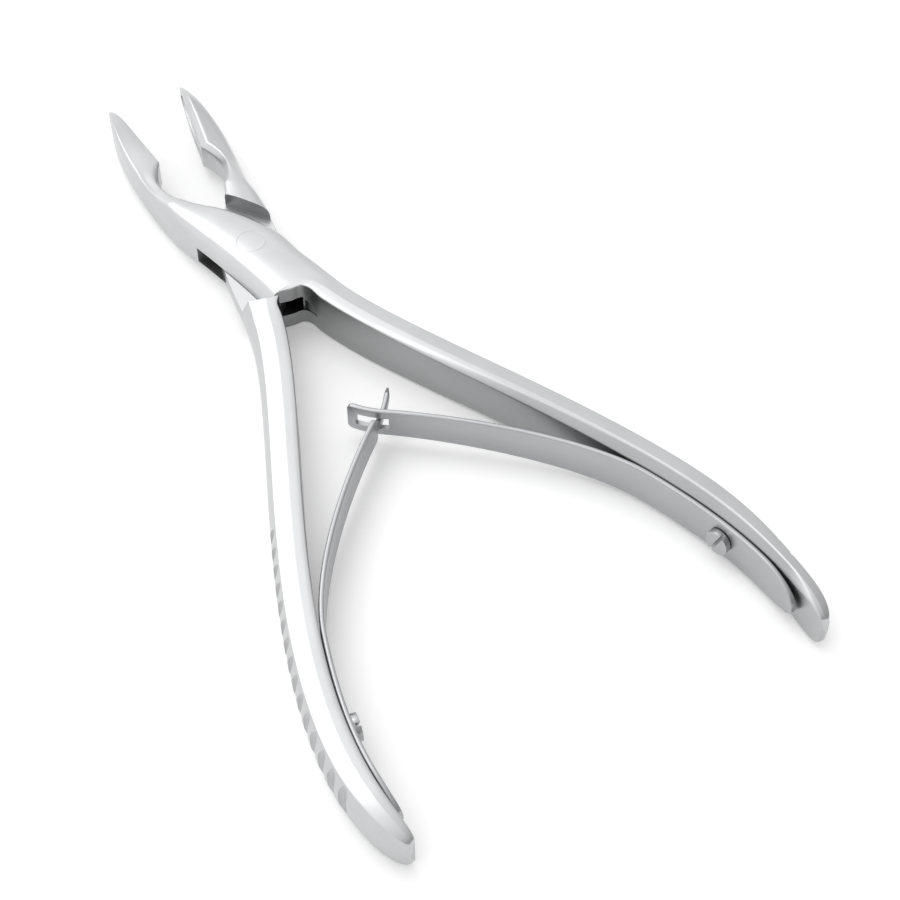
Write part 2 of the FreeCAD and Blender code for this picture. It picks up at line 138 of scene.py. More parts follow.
# Plan points in millimetres through the lock, from the jaw to the handle. The first list is the
# side of the jaw's back and the handle's inner face, the second the side of the bite.
LOCK_SIDES = {
    BOX_HAND: (
        ((-8.2, 12.4), (-7.9, 9.6), (-7.2, 6.2), (-6.4, 2.6),
         (-5.7, -0.8), (-4.9, -5.0), (-4.3, -8.6), (-3.9, -11.9)),
        ((-2.6, 12.4), (0.4, 9.4), (2.4, 6.6), (4.3, 2.8),
         (5.5, -0.4), (6.1, -4.6), (6.8, -7.8), (7.3, -9.9)),
    ),
    CROSS_HAND: (
        ((6.6, 10.6), (6.5, 8.0), (6.1, 4.6), (5.3, 0.6),
         (4.2, -3.2), (2.4, -6.8), (0.3, -10.2), (-1.9, -12.7)),
        ((1.6, 12.3), (-0.6, 9.4), (-2.6, 6.3), (-4.4, 2.8),
         (-5.5, -0.8), (-6.3, -4.4), (-6.9, -7.8), (-7.4, -10.7)),
    ),
}
BEND_POINTS = {
    BOX_HAND: (
        ((-1.9, -12.05), (7.57, -11.0)),
        ((0.2, -12.5), (7.8, -11.95)),
        ((1.95, -12.66), (8.03, -12.9)),
        ((2.9, -13.8), (8.25, -13.8)),
    ),
    CROSS_HAND: (((-2.9, -14.1), (-7.95, -12.9)),),
}
TONGUE_REAR_POINT = 3
TONGUE_FRONT_POINTS = 3
LOCK_LEAD_IN = 0.8
LOCK_LEAD_OUT = 0.03
RUNOUT_POINTS = (
    (1.8, -12.0, 1.52), (1.8, -12.0, -1.52), (2.6, -12.4, 1.52), (2.6, -12.4, -1.52),
    (3.45, -15.4, -1.3), (2.4, -15.4, -1.3))
RIVETED_CLEARANCE = 0.003 * MM
SLOT_REACH = 4.0

# Handles and leaves, as cubic curves in millimetres of the +X side
HANDLE_POLES = ((5.9, -15.5), (11.6, -37.0), (42.0, -79.0), (33.4, -106.2))
HANDLE_TIP_SHARE = 0.10
HANDLE_END_SHARE = 0.992
NOSE_OUTER_SHARE = 0.66
NOSE_WIDTH_SHARE = 0.20
NOSE_WIDTH = 0.20
NOSE_HEIGHT_SHARE = 0.10
NOSE_HEIGHT = 0.58
GROOVE_START = 0.445
GROOVE_TOOL_HEIGHT = 1.2
LEAF_ROOT_SHARE = 0.935
LEAF_LIFT_SHARE = 0.62
LEAF_CROSSING = (0.6, -40.6)
LEAF_HEADING = (-0.79, 0.61)
LEAF_TIP_HEADING = (-0.67, 0.74)
LEAF_ROOT_PULL = 11.0 * MM
LEAF_TIP_PULL = 12.0 * MM
TIP_REACH = {BOX_HAND: 5.6 * MM, CROSS_HAND: 7.4 * MM}
SCREW_SHARE = 0.758
LEAF_FREE_RUN = 1.55
HOLE_REACH = 3.0 * MM
SHANK_OVERLAP = 0.1 * MM
BLADE_LENGTH = 3.0
WINDOW_REACH = 3.0
LEAF_ROOT_END = 0.12
LEAF_TIP_END = 0.80
BODY_TAPER_START = 0.42
TONGUE_TAPER_START = 0.84
TONGUE_OVERLAP = 0.03
BLUNT_END = 0.02 * MM

# Fineness of the meshes
RING_SPACING = 0.45 * MM
ARC_STEPS = 4
CURVE_STEPS = 96
CIRCLE_STEPS = 72
END_STEPS = 7
ROUND_STEPS = 3
SHARP_ANGLE = math.radians(32.0)
CORNER_SHARE = 0.46
CLOSED_END = 0.0004

# Place of the half height in a row, after the plan points of its two sides
HALF_HEIGHT = 4

# Map that places the painted shade on the handles' inner faces, and fades of that shade over it and along
# the handles: start and end of each in millimetres
FACE_SHADE_MAP = "Brush"
HANDLE_RING_SHARE = 0.8
FACE_LOWER = (-8.1, -7.7)
FACE_UPPER = (0.25, 0.05)
FACE_BEHIND = (-10.5, -12.5)
FACE_ALONG = (-12.0, -80.0)
BEVEL_RISE = (0.05, 0.25)
BEVEL_RIDGE = (2.4, 2.0)
BEVEL_RIGHT = (4.0, 14.0)
BEVEL_REAR = (-30.0, -50.0)
BEVEL_KEPT = (-101.0, -96.0)

# Variation of the steel: tones and gloss over its marks, edges and grain, and the start and end
# of what makes its marks, the painted shade in its cavities and its edges
MARK_TONES = (0.96, 1.03)
EDGE_TONES = (1.0, 1.12)
GRAIN_GLOSS = (-0.05, 0.07)
MARK_GLOSS = 0.05
GRAIN_DEPTH = 0.01 * MM
MARK_NOISE = (0.35, 0.7)
CAVITY_SKY = (0.1, 0.85)
EDGE_MATCH = (0.995, 0.9)
FORGED_BUMP = 0.35
ROLLED_BUMP = 0.5
TURNED_BUMP = 0.15
ROLLED_GRAIN = {"Scale": 4200.0, "Stretch": (1.0, 1.0, 3.0)}
TURNED_GRAIN = {"Scale": 8000.0}

# Camera, turned about the target
TARGET = Vector((6.11 * MM, -50.46 * MM, 4.2 * MM))
CAMERA_DISTANCE = 319.68 * MM
CAMERA_AZIMUTH = math.radians(-30.82)
CAMERA_ELEVATION = math.radians(50.06)
CAMERA_ROLL = math.radians(-0.71)
CAMERA_LENS = 86.37
SENSOR_WIDTH = 36.0
NEAR_CLIP = 0.01

# Floor and light
FLOOR_SIZE = 3.0
KEY_DIRECTION = Vector((-0.08, 0.58, 0.81)).normalized()
KEY_DISTANCE = 0.9
KEY_SIZE = 0.55
SKY_DIRECTION = Vector((-0.50, 0.75, 0.40)).normalized()
SKY_DIM_SIDE = -0.6
SKY_BRIGHT_SIDE = 0.9
WHITE = (1.0, 1.0, 1.0, 1.0)


# Sizes and colours

def number(name, description, value, **limits):
    return FloatProperty(name=name, description=description, default=value, **limits)


def length(name, description, millimetres):
    return number(name, description, millimetres * MM, unit="LENGTH", precision=5)


def share(name, description, value):
    return number(name, description, value, min=0.0, max=1.0, subtype="FACTOR")


def angle(name, description, degrees):
    return number(name, description, math.radians(degrees), subtype="ANGLE")


def colour(name, description, value):
    return FloatVectorProperty(name=name, description=description, default=value, size=3, subtype="COLOR")


class ForcepsArmSizes(bpy.types.PropertyGroup):
    """Sizes of the two forged arms."""
    bite_length: length("Bite Length", "Length of the cutting face of a jaw", 16.8)
    jaw_width: length("Jaw Width", "Width of a jaw from its bite to its back", 5.3)
    jaw_tip_width: length("Jaw Tip Width", "Width of a jaw at its tip", 0.6)
    jaw_half_height: length("Jaw Half Height", "Half of the height of the spoon-shaped bite", 3.5)
    neck_half_height: length("Neck Half Height", "Half of the height of the jaw at its neck", 2.95)
    throat_length: length("Throat Length", "Length of the round opening behind the bite", 13.5)
    throat_depth: length("Throat Depth", "Depth of the round opening in each jaw", 2.4)
    cup_depth: length("Cup Depth", "Depth of the hollow in the bite face", 1.5)
    cup_rim: length("Cup Rim", "Width of the cutting rim round the hollow", 0.55)
    handle_width: length("Handle Width", "Width of a handle at the lock", 5.35)
    handle_end_width: length("Handle End Width", "Width of a handle before its rounded end", 4.7)
    softening: number("Softening", "Softening of all corners, as a multiple of their own", 1.0, min=0.0)


class ForcepsLockSizes(bpy.types.PropertyGroup):
    """Sizes of the box lock."""
    tongue_thickness: length("Tongue Thickness", "Thickness of the cross arm inside the box", 2.8)
    tongue_clearance: length("Tongue Clearance", "Gap above and below the tongue", 0.12)
    wall_clearance: length("Wall Clearance", "Gap beside the tongue when the jaws are closed", 0.35)
    slot_front: length("Slot Front", "Distance of the slot's front wall from the pivot", 5.7)
    slot_tail: length("Slot Tail", "Length of the slot's open tail behind its wall", 1.6)
    recess_radius: length("Recess Radius", "Radius of the recess in which the cheeks turn", 12.85)
    jaw_shoulder: length("Jaw Shoulder", "Distance of the jaw's shoulder from the pivot", 8.3)
    shoulder_turn: angle("Shoulder Turn", "Direction of the jaw's shoulder", 36.0)
    pin_clearance: length("Pin Clearance", "Gap round the pivot pin", 0.03)


class ForcepsGripSizes(bpy.types.PropertyGroup):
    """Sizes of the grip grooves."""
    count: IntProperty(name="Groove Count", description="Grooves on each handle", default=15, min=1)
    pitch: length("Groove Pitch", "Distance from one groove to the next", 3.16)
    radius: length("Groove Radius", "Radius of a groove", 1.12)
    depth: length("Groove Depth", "Depth of a groove", 0.70)


class ForcepsSpringSizes(bpy.types.PropertyGroup):
    """Sizes of the leaf springs."""
    thickness: length("Leaf Thickness", "Thickness of the spring stock", 0.8)
    seat_gap: length("Seat Gap", "Gap between a leaf and its handle", 0.15)
    root_width: length("Root Width", "Width of a leaf on its handle", 6.6)
    tip_width: length("Tip Width", "Width of a leaf at its tip", 5.0)
    corner: length("Corner Radius", "Rounding of a leaf's long edges", 0.28)
    root_rounding: length("Root Rounding", "Stretch over which a leaf's root end is rounded", 7.5)
    tip_rounding: length("Tip Rounding", "Stretch over which a leaf's tip is rounded", 0.9)
    window_length: length("Window Length", "Length of the window in the slotted leaf", 5.1)
    window_height: length("Window Height", "Height of the window in the slotted leaf", 2.3)
    window_wall: length("Window End Wall", "Metal left between the window and the leaf's end", 1.3)
    tongue_width: length("Tongue Width", "Width of the tongue that goes through the window", 1.7)
    tongue_length: length("Tongue Length", "Length of the tongue", 8.3)
    tongue_point: length("Tongue Point", "Width of the tongue's point", 0.5)
    point_thickness: share("Point Thickness", "Thickness left at the tongue's point", 0.4)


class ForcepsScrewSizes(bpy.types.PropertyGroup):
    """Sizes of the slotted spring screws."""
    diameter: length("Screw Diameter", "Diameter of the shank", 2.6)
    depth: length("Screw Depth", "Length of the shank in the handle", 3.0)
    head_diameter: length("Head Diameter", "Diameter of the head", 4.0)
    head_height: length("Head Height", "Height of the head", 0.95)
    head_gap: length("Head Gap", "Gap between the head and the leaf", 0.15)
    head_round: length("Head Rounding", "Rounding of the head's edges", 0.22)
    slot_width: length("Slot Width", "Width of the driver slot", 0.48)
    slot_depth: length("Slot Depth", "Depth of the driver slot", 0.7)
    slot_turn: angle("Slot Turn", "Turn of the driver slot from upright", -23.0)
    hole_clearance: length("Hole Clearance", "Gap round the shank in the leaf", 0.15)


class ForcepsFinish(bpy.types.PropertyGroup):
    """Colours and finishes of the steel, and the light round it."""
    arm_steel: colour("Arm Steel", "Colour of the satin forgings", (0.52, 0.525, 0.53))
    arm_roughness: share("Arm Roughness", "Roughness of the satin forgings", 0.30)
    spring_steel: colour("Spring Steel", "Colour of the leaf springs", (0.43, 0.435, 0.445))
    spring_roughness: share("Spring Roughness", "Roughness of the leaf springs", 0.34)
    screw_steel: colour("Screw Steel", "Colour of the spring screws", (0.43, 0.435, 0.44))
    screw_roughness: share("Screw Roughness", "Roughness of the spring screws", 0.28)
    edge_radius: length("Edge Radius", "Rounding of the machined edges in the finish", 0.12)
    # strength of the painted shade in the grooves, slots and inner corners
    cavity_shade_depth: share("Cavity Depth", "Darkening of the grooves, slots and inner corners", 0.75)
    floor: colour("Floor", "Colour of the floor", (0.90, 0.90, 0.90))
    floor_lift: share("Floor Lift", "Light that the floor adds to its own picture", 0.17)
    sky_bright: number("Bright Sky", "Light from the bright side of the room", 1.4)
    sky_dim: number("Dim Sky", "Light from the dim side of the room", 0.5)
    lamp_power: number("Lamp Power", "Power of the soft lamp over the forceps", 1.3, unit="POWER")


SETTINGS = {
    "forceps_arm": ForcepsArmSizes,
    "forceps_lock": ForcepsLockSizes,
    "forceps_grip": ForcepsGripSizes,
    "forceps_spring": ForcepsSpringSizes,
    "forceps_screw": ForcepsScrewSizes,
    "forceps_finish": ForcepsFinish,
}


def chosen(kind):
    """Sizes or finishes as the panel has them."""
    return getattr(bpy.context.scene, "forceps_" + kind)


# Plan geometry

def plan(point):
    """Plan point given in millimetres."""
    return np.array(point, float) * MM


def turned(point, turn):
    c, s = math.cos(turn), math.sin(turn)
    return np.array((c * point[0] - s * point[1], s * point[0] + c * point[1]))


def mix(first, second, amount):
    return first + (second - first) * amount


def ramp(value, start, end):
    """0 before the start, 1 after the end and even in between."""
    return min(max((value - start) / (end - start), 0.0), 1.0)


def unit(vector):
    return vector / np.linalg.norm(vector)


def bezier(poles, at):
    """Point and tangent of a cubic curve."""
    rest = 1.0 - at
    weights = (rest ** 3, 3 * rest ** 2 * at, 3 * rest * at ** 2, at ** 3)
    point = sum(weight * pole for weight, pole in zip(weights, poles))
    weights = (rest ** 2, 2 * rest * at, at ** 2)
    slope = sum(weight * (after - pole) for weight, pole, after in zip(weights, poles, poles[1:]))
    return point, unit(slope)


def leftwards(direction):
    return np.array((-direction[1], direction[0]))


def handed(hand, point):
    """Plan point of one arm, from the same point of the arm whose handle is on the +X side."""
    return np.array((hand * point[0], point[1]))


def spread(count, start=0.0, end=1.0):
    return np.linspace(start, end, count)


def steps_over(distance):
    return int(distance / RING_SPACING)


# Handles

def handle_line(at):
    """Point and outward normal of the +X handle's middle line."""
    point, tangent = bezier([plan(pole) for pole in HANDLE_POLES], at)
    return point, leftwards(tangent)


def nose(at, start_share, end_size):
    """1 along the handle, falling in a rounded way to an end size over its last share."""
    run = ramp(at, HANDLE_END_SHARE - start_share, HANDLE_END_SHARE)
    return mix(end_size, 1.0, math.sqrt(1.0 - run * run))


def handle_width(at):
    arm = chosen("arm")
    return mix(arm.handle_width, arm.handle_end_width, at)


def handle_edge(hand, at, side):
    """Plan point of a handle's inner (side -1) or outer (side 1) edge, drawn in over the rounded end."""
    point, outward = handle_line(at)
    drawn_in = 2.0 * (1.0 - nose(at, NOSE_WIDTH_SHARE, NOSE_WIDTH))
    kept = 1.0 - drawn_in * (NOSE_OUTER_SHARE if side > 0 else 1.0 - NOSE_OUTER_SHARE)
    reach = kept * handle_width(at) / 2.0
    if hand == BOX_HAND and side > 0:
        reach -= SLIM_DEPTH * math.sin(math.pi * ramp(at, SLIM_START, 1.0) ** SLIM_POWER) ** 2
    return handed(hand, point + outward * side * reach)


# Rows of an arm: the plan points of its two sides, its half height and the corners of both sides

def row(back, bite, half_height, back_side, bite_side):
    return np.concatenate((back, bite, [half_height], np.ravel(back_side), np.ravel(bite_side)))


def mixed_sides(first, second, amount):
    return mix(np.array(first), np.array(second), amount)


def handle_row(hand, at):
    half_height = HALF * nose(at, NOSE_HEIGHT_SHARE, NOSE_HEIGHT)
    bevel = ramp(at, GRIP_BEVEL_START, GRIP_BEVEL_END) * (1.0 - ramp(at, BEVEL_FADE_START, BEVEL_FADE_END))
    inner = mixed_sides(GRIP_START_INNER, GRIP_INNER[hand], bevel)
    return row(handle_edge(hand, at, -1), handle_edge(hand, at, 1), half_height, inner, GRIP_OUTER)


def jaw_lean(hand):
    return BOX_JAW_LEAN if hand == BOX_HAND else CLOSING_ANGLE - BOX_JAW_LEAN


def jaw_point(hand, along, out):
    """Plan point of a jaw, from the lengths along and away from its bite line."""
    return handed(hand, turned((-hand * BITE_OFFSET - out, along), jaw_lean(hand)))


def jaw_length():
    arm = chosen("arm")
    return JAW_ROOT + arm.throat_length * THROAT_SHARE + arm.bite_length


def jaw_back(hand, along):
    """Plan point of a jaw's back."""
    arm = chosen("arm")
    slim = ramp(along / jaw_length(), JAW_TAPER_START, 1.0)
    return jaw_point(hand, along, mix(arm.jaw_width, arm.jaw_tip_width, slim ** JAW_TAPER_POWER))


def bite_row(hand, at):
    """Row in the bite: 0 at its heel, 1 at the tip."""
    arm = chosen("arm")
    along = jaw_length() - arm.bite_length * (1.0 - at)
    tip = ramp(at, SPOON_TIP_START, SPOON_TIP_END)
    heel = ramp(at, 0.0, SPOON_HEEL_SHARE)
    height = mix(arm.neck_half_height, arm.jaw_half_height, heel * heel * (3.0 - 2.0 * heel))
    height *= math.sqrt(1.0 - tip * tip)
    return row(jaw_back(hand, along), jaw_point(hand, along, BITE_GAP), height, *JAW_SECTIONS[hand])


def throat_row(hand, at):
    """Row in the throat: 0 at the heel of the bite, 1 at the lock."""
    arm = chosen("arm")
    behind = arm.throat_length * THROAT_SHARE * at
    along = jaw_length() - arm.bite_length - behind
    run = 2.0 * behind / arm.throat_length - 1.0
    depth = arm.throat_depth * max(1.0 - abs(run) ** THROAT_ROUNDNESS, 0.0)
    height = mix(arm.neck_half_height, HALF, ramp(at, NECK_SHARE, 1.0) ** NECK_RISE_POWER)
    throat = JAW_SECTIONS[hand][0], THROAT_BITE
    sides = mixed_sides(JAW_SECTIONS[hand], throat, ramp(at, 0.0, THROAT_FULL_SHARE))
    sides = mixed_sides(sides, LOCK_SECTIONS[hand], ramp(at, THROAT_FULL_SHARE, 1.0))
    return row(jaw_back(hand, along), jaw_point(hand, along, BITE_GAP + depth), height, *sides)


def insets(side, scale):
    """A section's side with its shares of the width scaled."""
    return np.array(side) * (scale, 1.0, 1.0)


def curved(before, start, end, after, at):
    """Row on the smooth curve from a start row to an end row."""
    bend = 2.0 * before - 5.0 * start + 4.0 * end - after
    twist = 3.0 * start - before - 3.0 * end + after
    return 0.5 * (2.0 * start + (end - before) * at + bend * at ** 2 + twist * at ** 3)


def lock_rows(hand):
    """Smooth rows over the lock and its bend, between the throat and the handle."""
    front = LOCK_SECTIONS[hand]
    rear = REAR_SECTIONS.get(hand, front)
    keys = [throat_row(hand, LOCK_LEAD_IN), throat_row(hand, 1.0)]
    places = list(zip(*LOCK_SIDES[hand]))
    for at, (back, bite) in zip(spread(len(places)), places):
        keys.append(row(plan(back), plan(bite), HALF, *mixed_sides(front, rear, at ** REAR_BLEND_POWER)))
    lock_insets = insets(rear[1], np.linalg.norm(np.subtract(*places[-1])))
    handle_insets = insets(GRIP_OUTER, handle_width(0.0) / MM)
    bends = BEND_POINTS[hand]
    for at, (inner, outer) in zip(spread(len(bends) + 2)[1:], bends):
        width = np.linalg.norm(np.subtract(inner, outer))
        side = insets(mix(lock_insets, handle_insets, at), 1.0 / width)
        keys.append(row(plan(inner), plan(outer), HALF, BEND_INNER, side))
    keys += [handle_row(hand, 0.0), handle_row(hand, LOCK_LEAD_OUT)]
    rows = []
    for before, start, end, after in zip(keys, keys[1:], keys[2:], keys[3:]):
        steps = max(steps_over(np.linalg.norm(end[:4] - start[:4])), 2)
        for at in spread(steps, 0.0, 1.0 - 1.0 / steps):
            rows.append(curved(before, start, end, after, at))
            rows[-1][HALF_HEIGHT] = min(rows[-1][HALF_HEIGHT], HALF)
    return rows


def closing_rows(last, reach):
    """Rows that close an end in a rounded way, away from its row towards a plan point."""
    middle = (last[:2] + last[2:4]) / 2.0
    rows = []
    for at in spread(END_STEPS)[1:]:
        size = math.sqrt(max(1.0 - at * at, CLOSED_END))
        closer = last.copy()
        closer[:2] = middle + (last[:2] - middle) * size + reach * at
        closer[2:4] = middle + (last[2:4] - middle) * size + reach * at
        closer[HALF_HEIGHT] = last[HALF_HEIGHT] * size
        rows.append(closer)
    return rows


def arm_rows(hand):
    """All rows of an arm, from the tip of its jaw to the end of its handle."""
    arm = chosen("arm")
    bite = [bite_row(hand, at) for at in spread(steps_over(arm.bite_length), 1.0, 0.0)]
    throat = [throat_row(hand, at) for at in spread(steps_over(arm.throat_length * THROAT_SHARE))]
    grip_end = HANDLE_END_SHARE - HANDLE_TIP_SHARE
    grip_steps = steps_over(np.linalg.norm(handle_line(grip_end)[0] - handle_line(0.0)[0]))
    grip = [handle_row(hand, at) for at in spread(grip_steps, 0.0, grip_end)]
    tip_shares = HANDLE_END_SHARE - HANDLE_TIP_SHARE * (1.0 - np.sin(spread(4 * END_STEPS) * math.pi / 2.0))
    tip = [handle_row(hand, at) for at in tip_shares[1:]]
    forward = unit(jaw_point(hand, 1.0, 0.0) - jaw_point(hand, 0.0, 0.0))
    lip = closing_rows(bite[0], forward * bite[0][HALF_HEIGHT] * LIP_SHARE)[::-1]
    return lip + bite + throat[1:-1] + lock_rows(hand) + grip + tip


# Meshes

def added(name, data):
    """New object in the scene."""
    obj = bpy.data.objects.new(name, data)
    bpy.context.scene.collection.objects.link(obj)
    return obj


def from_work(name, work):
    """New object from a working mesh."""
    mesh = bpy.data.meshes.new(name)
    work.to_mesh(mesh)
    work.free()
    return added(name, mesh)


def ring(values):
    """Points round an arm at one of its rows, with softened corners."""
    back, bite, half_height = values[:2], values[2:4], values[HALF_HEIGHT]
    back_side, bite_side = values[HALF_HEIGHT + 1:].reshape(2, -1, 3)
    width = np.linalg.norm(bite - back)
    top = [(at * width, height * half_height, soft) for at, height, soft in back_side]
    top += [((1.0 - at) * width, height * half_height, soft) for at, height, soft in bite_side[::-1]]
    turns = np.array(top + [(at, -height, soft) for at, height, soft in reversed(top)])
    corners = turns[:, :2]
    before = np.roll(corners, 1, axis=0) - corners
    after = np.roll(corners, -1, axis=0) - corners
    before_length = np.linalg.norm(before, axis=1)
    after_length = np.linalg.norm(after, axis=1)
    room = np.minimum(before_length, after_length) * CORNER_SHARE
    cut = np.minimum(room, turns[:, 2] * MM * chosen("arm").softening)[:, None]
    start = corners + before / before_length[:, None] * cut
    end = corners + after / after_length[:, None] * cut
    arcs = []
    for at in spread(ARC_STEPS + 1):
        arcs.append((1 - at) ** 2 * start + 2 * at * (1 - at) * corners + at ** 2 * end)
    arcs.append((end + np.roll(start, -1, axis=0)) / 2.0)
    outline = np.stack(arcs, axis=1).reshape(-1, 2)
    flat = back + outline[:, :1] * (bite - back) / width
    return np.column_stack((flat, MIDDLE + outline[:, 1]))


def solid(name, points, faces):
    """Closed mesh object with its faces turned outwards."""
    work = bmesh.new()
    corners = [work.verts.new(point) for point in points]
    for face in faces:
        work.faces.new([corners[at] for at in face])
    bmesh.ops.recalc_face_normals(work, faces=work.faces)
    return from_work(name, work)


def skin(name, rings):
    """Closed skin over a run of rings with as many points each, with a map that places the painted
    inner-face shade.
    """
    count = len(rings[0])
    points = np.vstack(rings + [rings[0].mean(axis=0), rings[-1].mean(axis=0)])
    first_pole = count * len(rings)
    last = first_pole - count
    faces = []
    for start in range(0, last, count):
        for at in range(count):
            after = (at + 1) % count
            faces.append((start + at, start + after, start + count + after, start + count + at))
    for at in range(count):
        after = (at + 1) % count
        faces.append((first_pole, after, at))
        faces.append((first_pole + 1, last + at, last + after))
    obj = solid(name, points, faces)
    write_face_shade_map(obj.data, rings)
    return obj


def blank(hand, name):
    """An arm before anything is cut from it."""
    return skin(name, [ring(values) for values in arm_rows(hand)])


def write_face_shade_map(mesh, rings):
    """UV map in metres that places the painted inner-face shade: U along the arm, V round it from the upper
    edge of the handle's inner face.
    """
    count = len(rings[0])
    middles = np.array([points.mean(axis=0) for points in rings])
    along = np.concatenate(([0.0], np.cumsum(np.linalg.norm(np.diff(middles, axis=0), axis=1))))
    outline = rings[int(len(rings) * HANDLE_RING_SHARE)]
    round_it = np.concatenate(([0.0], np.cumsum(np.linalg.norm(np.diff(outline, axis=0), axis=1))))
    lap = round_it[-1] + np.linalg.norm(outline[0] - outline[-1])
    layer = mesh.uv_layers.new(name=FACE_SHADE_MAP)
    poles = count * len(rings)
    for face in mesh.polygons:
        places = [mesh.loops[loop].vertex_index for loop in face.loop_indices]
        wraps = any(place % count == count - 1 for place in places if place < poles)
        before_start = lap if max(place % count for place in places) > count // 2 else 0.0
        for loop, place in zip(face.loop_indices, places):
            if place >= poles:
                layer.data[loop].uv = (along[0] if place == poles else along[-1], 0.0)
                continue
            v = lap if wraps and place % count == 0 else round_it[place % count]
            layer.data[loop].uv = (along[place // count], v - before_start)


def prism(name, outline, low, high):
    """Upright prism over a plan outline."""
    count = len(outline)
    points = [(x, y, z) for z in (low, high) for x, y in outline]
    faces = [tuple(range(count)), tuple(range(count, 2 * count))]
    for at in range(count):
        after = (at + 1) % count
        faces.append((at, after, count + after, count + at))
    return solid(name, points, faces)


def tall_prism(name, outline):
    """Prism that reaches above and below the forceps."""
    return prism(name, outline, MIDDLE - BODY_THICKNESS, MIDDLE + BODY_THICKNESS)


def arc(radius, start, end):
    """Points of an arc about the pivot, with both its ends."""
    angles = spread(CIRCLE_STEPS + 1, start, end)
    return [(radius * math.cos(at), radius * math.sin(at)) for at in angles]


def circle(radius):
    return arc(radius, 0.0, 2.0 * math.pi)[:-1]


def remove(objects):
    for obj in objects:
        bpy.data.objects.remove(obj)


def baked(obj, name):
    """Plain mesh object from an object with its modifiers, which takes its place."""
    graph = bpy.context.evaluated_depsgraph_get()
    source = obj.evaluated_get(graph)
    mesh = bpy.data.meshes.new_from_object(source, preserve_all_data_layers=True, depsgraph=graph)
    result = added(name, mesh)
    remove([obj])
    result.name = name
    mesh.name = name
    return result


def combined(obj, name, cutters=(), additions=(), limits=()):
    """The object with others cut from it or added to it, or kept only inside its limits."""
    for operation, others in (("INTERSECT", limits), ("UNION", additions), ("DIFFERENCE", cutters)):
        for other in others:
            step = obj.modifiers.new(other.name, "BOOLEAN")
            step.operation = operation
            step.solver = "EXACT"
            step.object = other
    result = baked(obj, name)
    remove([*cutters, *additions, *limits])
    return result


def finished(obj, material, body, node):
    """Gives a piece its finish, its shading and its body, and hides the node that it stands for."""
    mesh = obj.data
    mesh.materials.clear()
    mesh.materials.append(bpy.data.materials[material])
    mesh.polygons.foreach_set("material_index", [0] * len(mesh.polygons))
    mesh.shade_smooth()
    mesh.set_sharp_from_angle(angle=SHARP_ANGLE)
    if body is not None:
        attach(obj, body)
    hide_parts(node)
    return obj


# Cutters of the lock, the jaws and the grip

def slot_cutter():
    """The through slot of the box, walled where the closed tongue comes to lie."""
    lock = chosen("lock")
    sides = LOCK_SIDES[CROSS_HAND]
    backs, bites = ([turned(plan(point), CLOSING_ANGLE) for point in side] for side in sides)
    clearance = np.array((lock.wall_clearance, 0.0))
    rear = [point + clearance for point in backs[TONGUE_REAR_POINT:]]
    front = [point - clearance for point in bites[:TONGUE_FRONT_POINTS]]
    throat = front[0][1] + chosen("arm").throat_depth
    tail = rear[-1][1] - lock.slot_tail
    far = SLOT_REACH * lock.recess_radius
    outline = [(-far, lock.slot_front), (front[2][0], lock.slot_front), front[1], front[0]]
    outline += [(front[0][0], throat), (far, throat), (far, rear[0][1])]
    outline += rear + [(rear[-1][0], tail), (-far, tail)]
    half = lock.tongue_thickness / 2.0 + lock.tongue_clearance
    return prism("slot", outline, MIDDLE - half, MIDDLE + half)


def slot_runout():
    """Wedge that the slot's cutter leaves in the corner behind the slot."""
    work = bmesh.new()
    for x, y, z in RUNOUT_POINTS:
        work.verts.new((x * MM, y * MM, MIDDLE + z * MM))
    bmesh.ops.convex_hull(work, input=work.verts)
    return from_work("slot_runout", work)


def cheek_cutters():
    """The two recesses of the cross arm in which the cheeks of the box turn."""
    lock = chosen("lock")
    opening = math.acos(lock.jaw_shoulder / lock.recess_radius)
    start = lock.shoulder_turn + opening
    outline = arc(lock.recess_radius, start, start + 2.0 * (math.pi - opening))
    half = lock.tongue_thickness / 2.0
    return [
        prism("upper_recess", outline, MIDDLE + half, MIDDLE + BODY_THICKNESS),
        prism("lower_recess", outline, MIDDLE - BODY_THICKNESS, MIDDLE - half),
    ]


def pin_hole(clearance):
    return tall_prism("pin_hole", circle(PIN_DIAMETER / 2.0 + clearance))


def cup_cutter(hand):
    """Scoop of a jaw's bite face."""
    arm = chosen("arm")
    work = bmesh.new()
    bmesh.ops.create_uvsphere(work, u_segments=CIRCLE_STEPS, v_segments=CIRCLE_STEPS // 2, radius=1.0)
    rim_height = arm.jaw_half_height * BITE_EDGE - arm.cup_rim
    size = Matrix.Diagonal((arm.cup_depth, arm.bite_length / 2.0 - arm.cup_rim, rim_height, 1.0))
    middle = jaw_point(hand, jaw_length() - arm.bite_length / 2.0, BITE_GAP)
    place = Matrix.Translation((*middle, MIDDLE)) @ Matrix.Rotation(hand * jaw_lean(hand), 4, "Z") @ size
    bmesh.ops.transform(work, matrix=place, verts=work.verts)
    return from_work("cup", work)


# Node trees

def titled(label):
    return label.replace("_", " ").title()


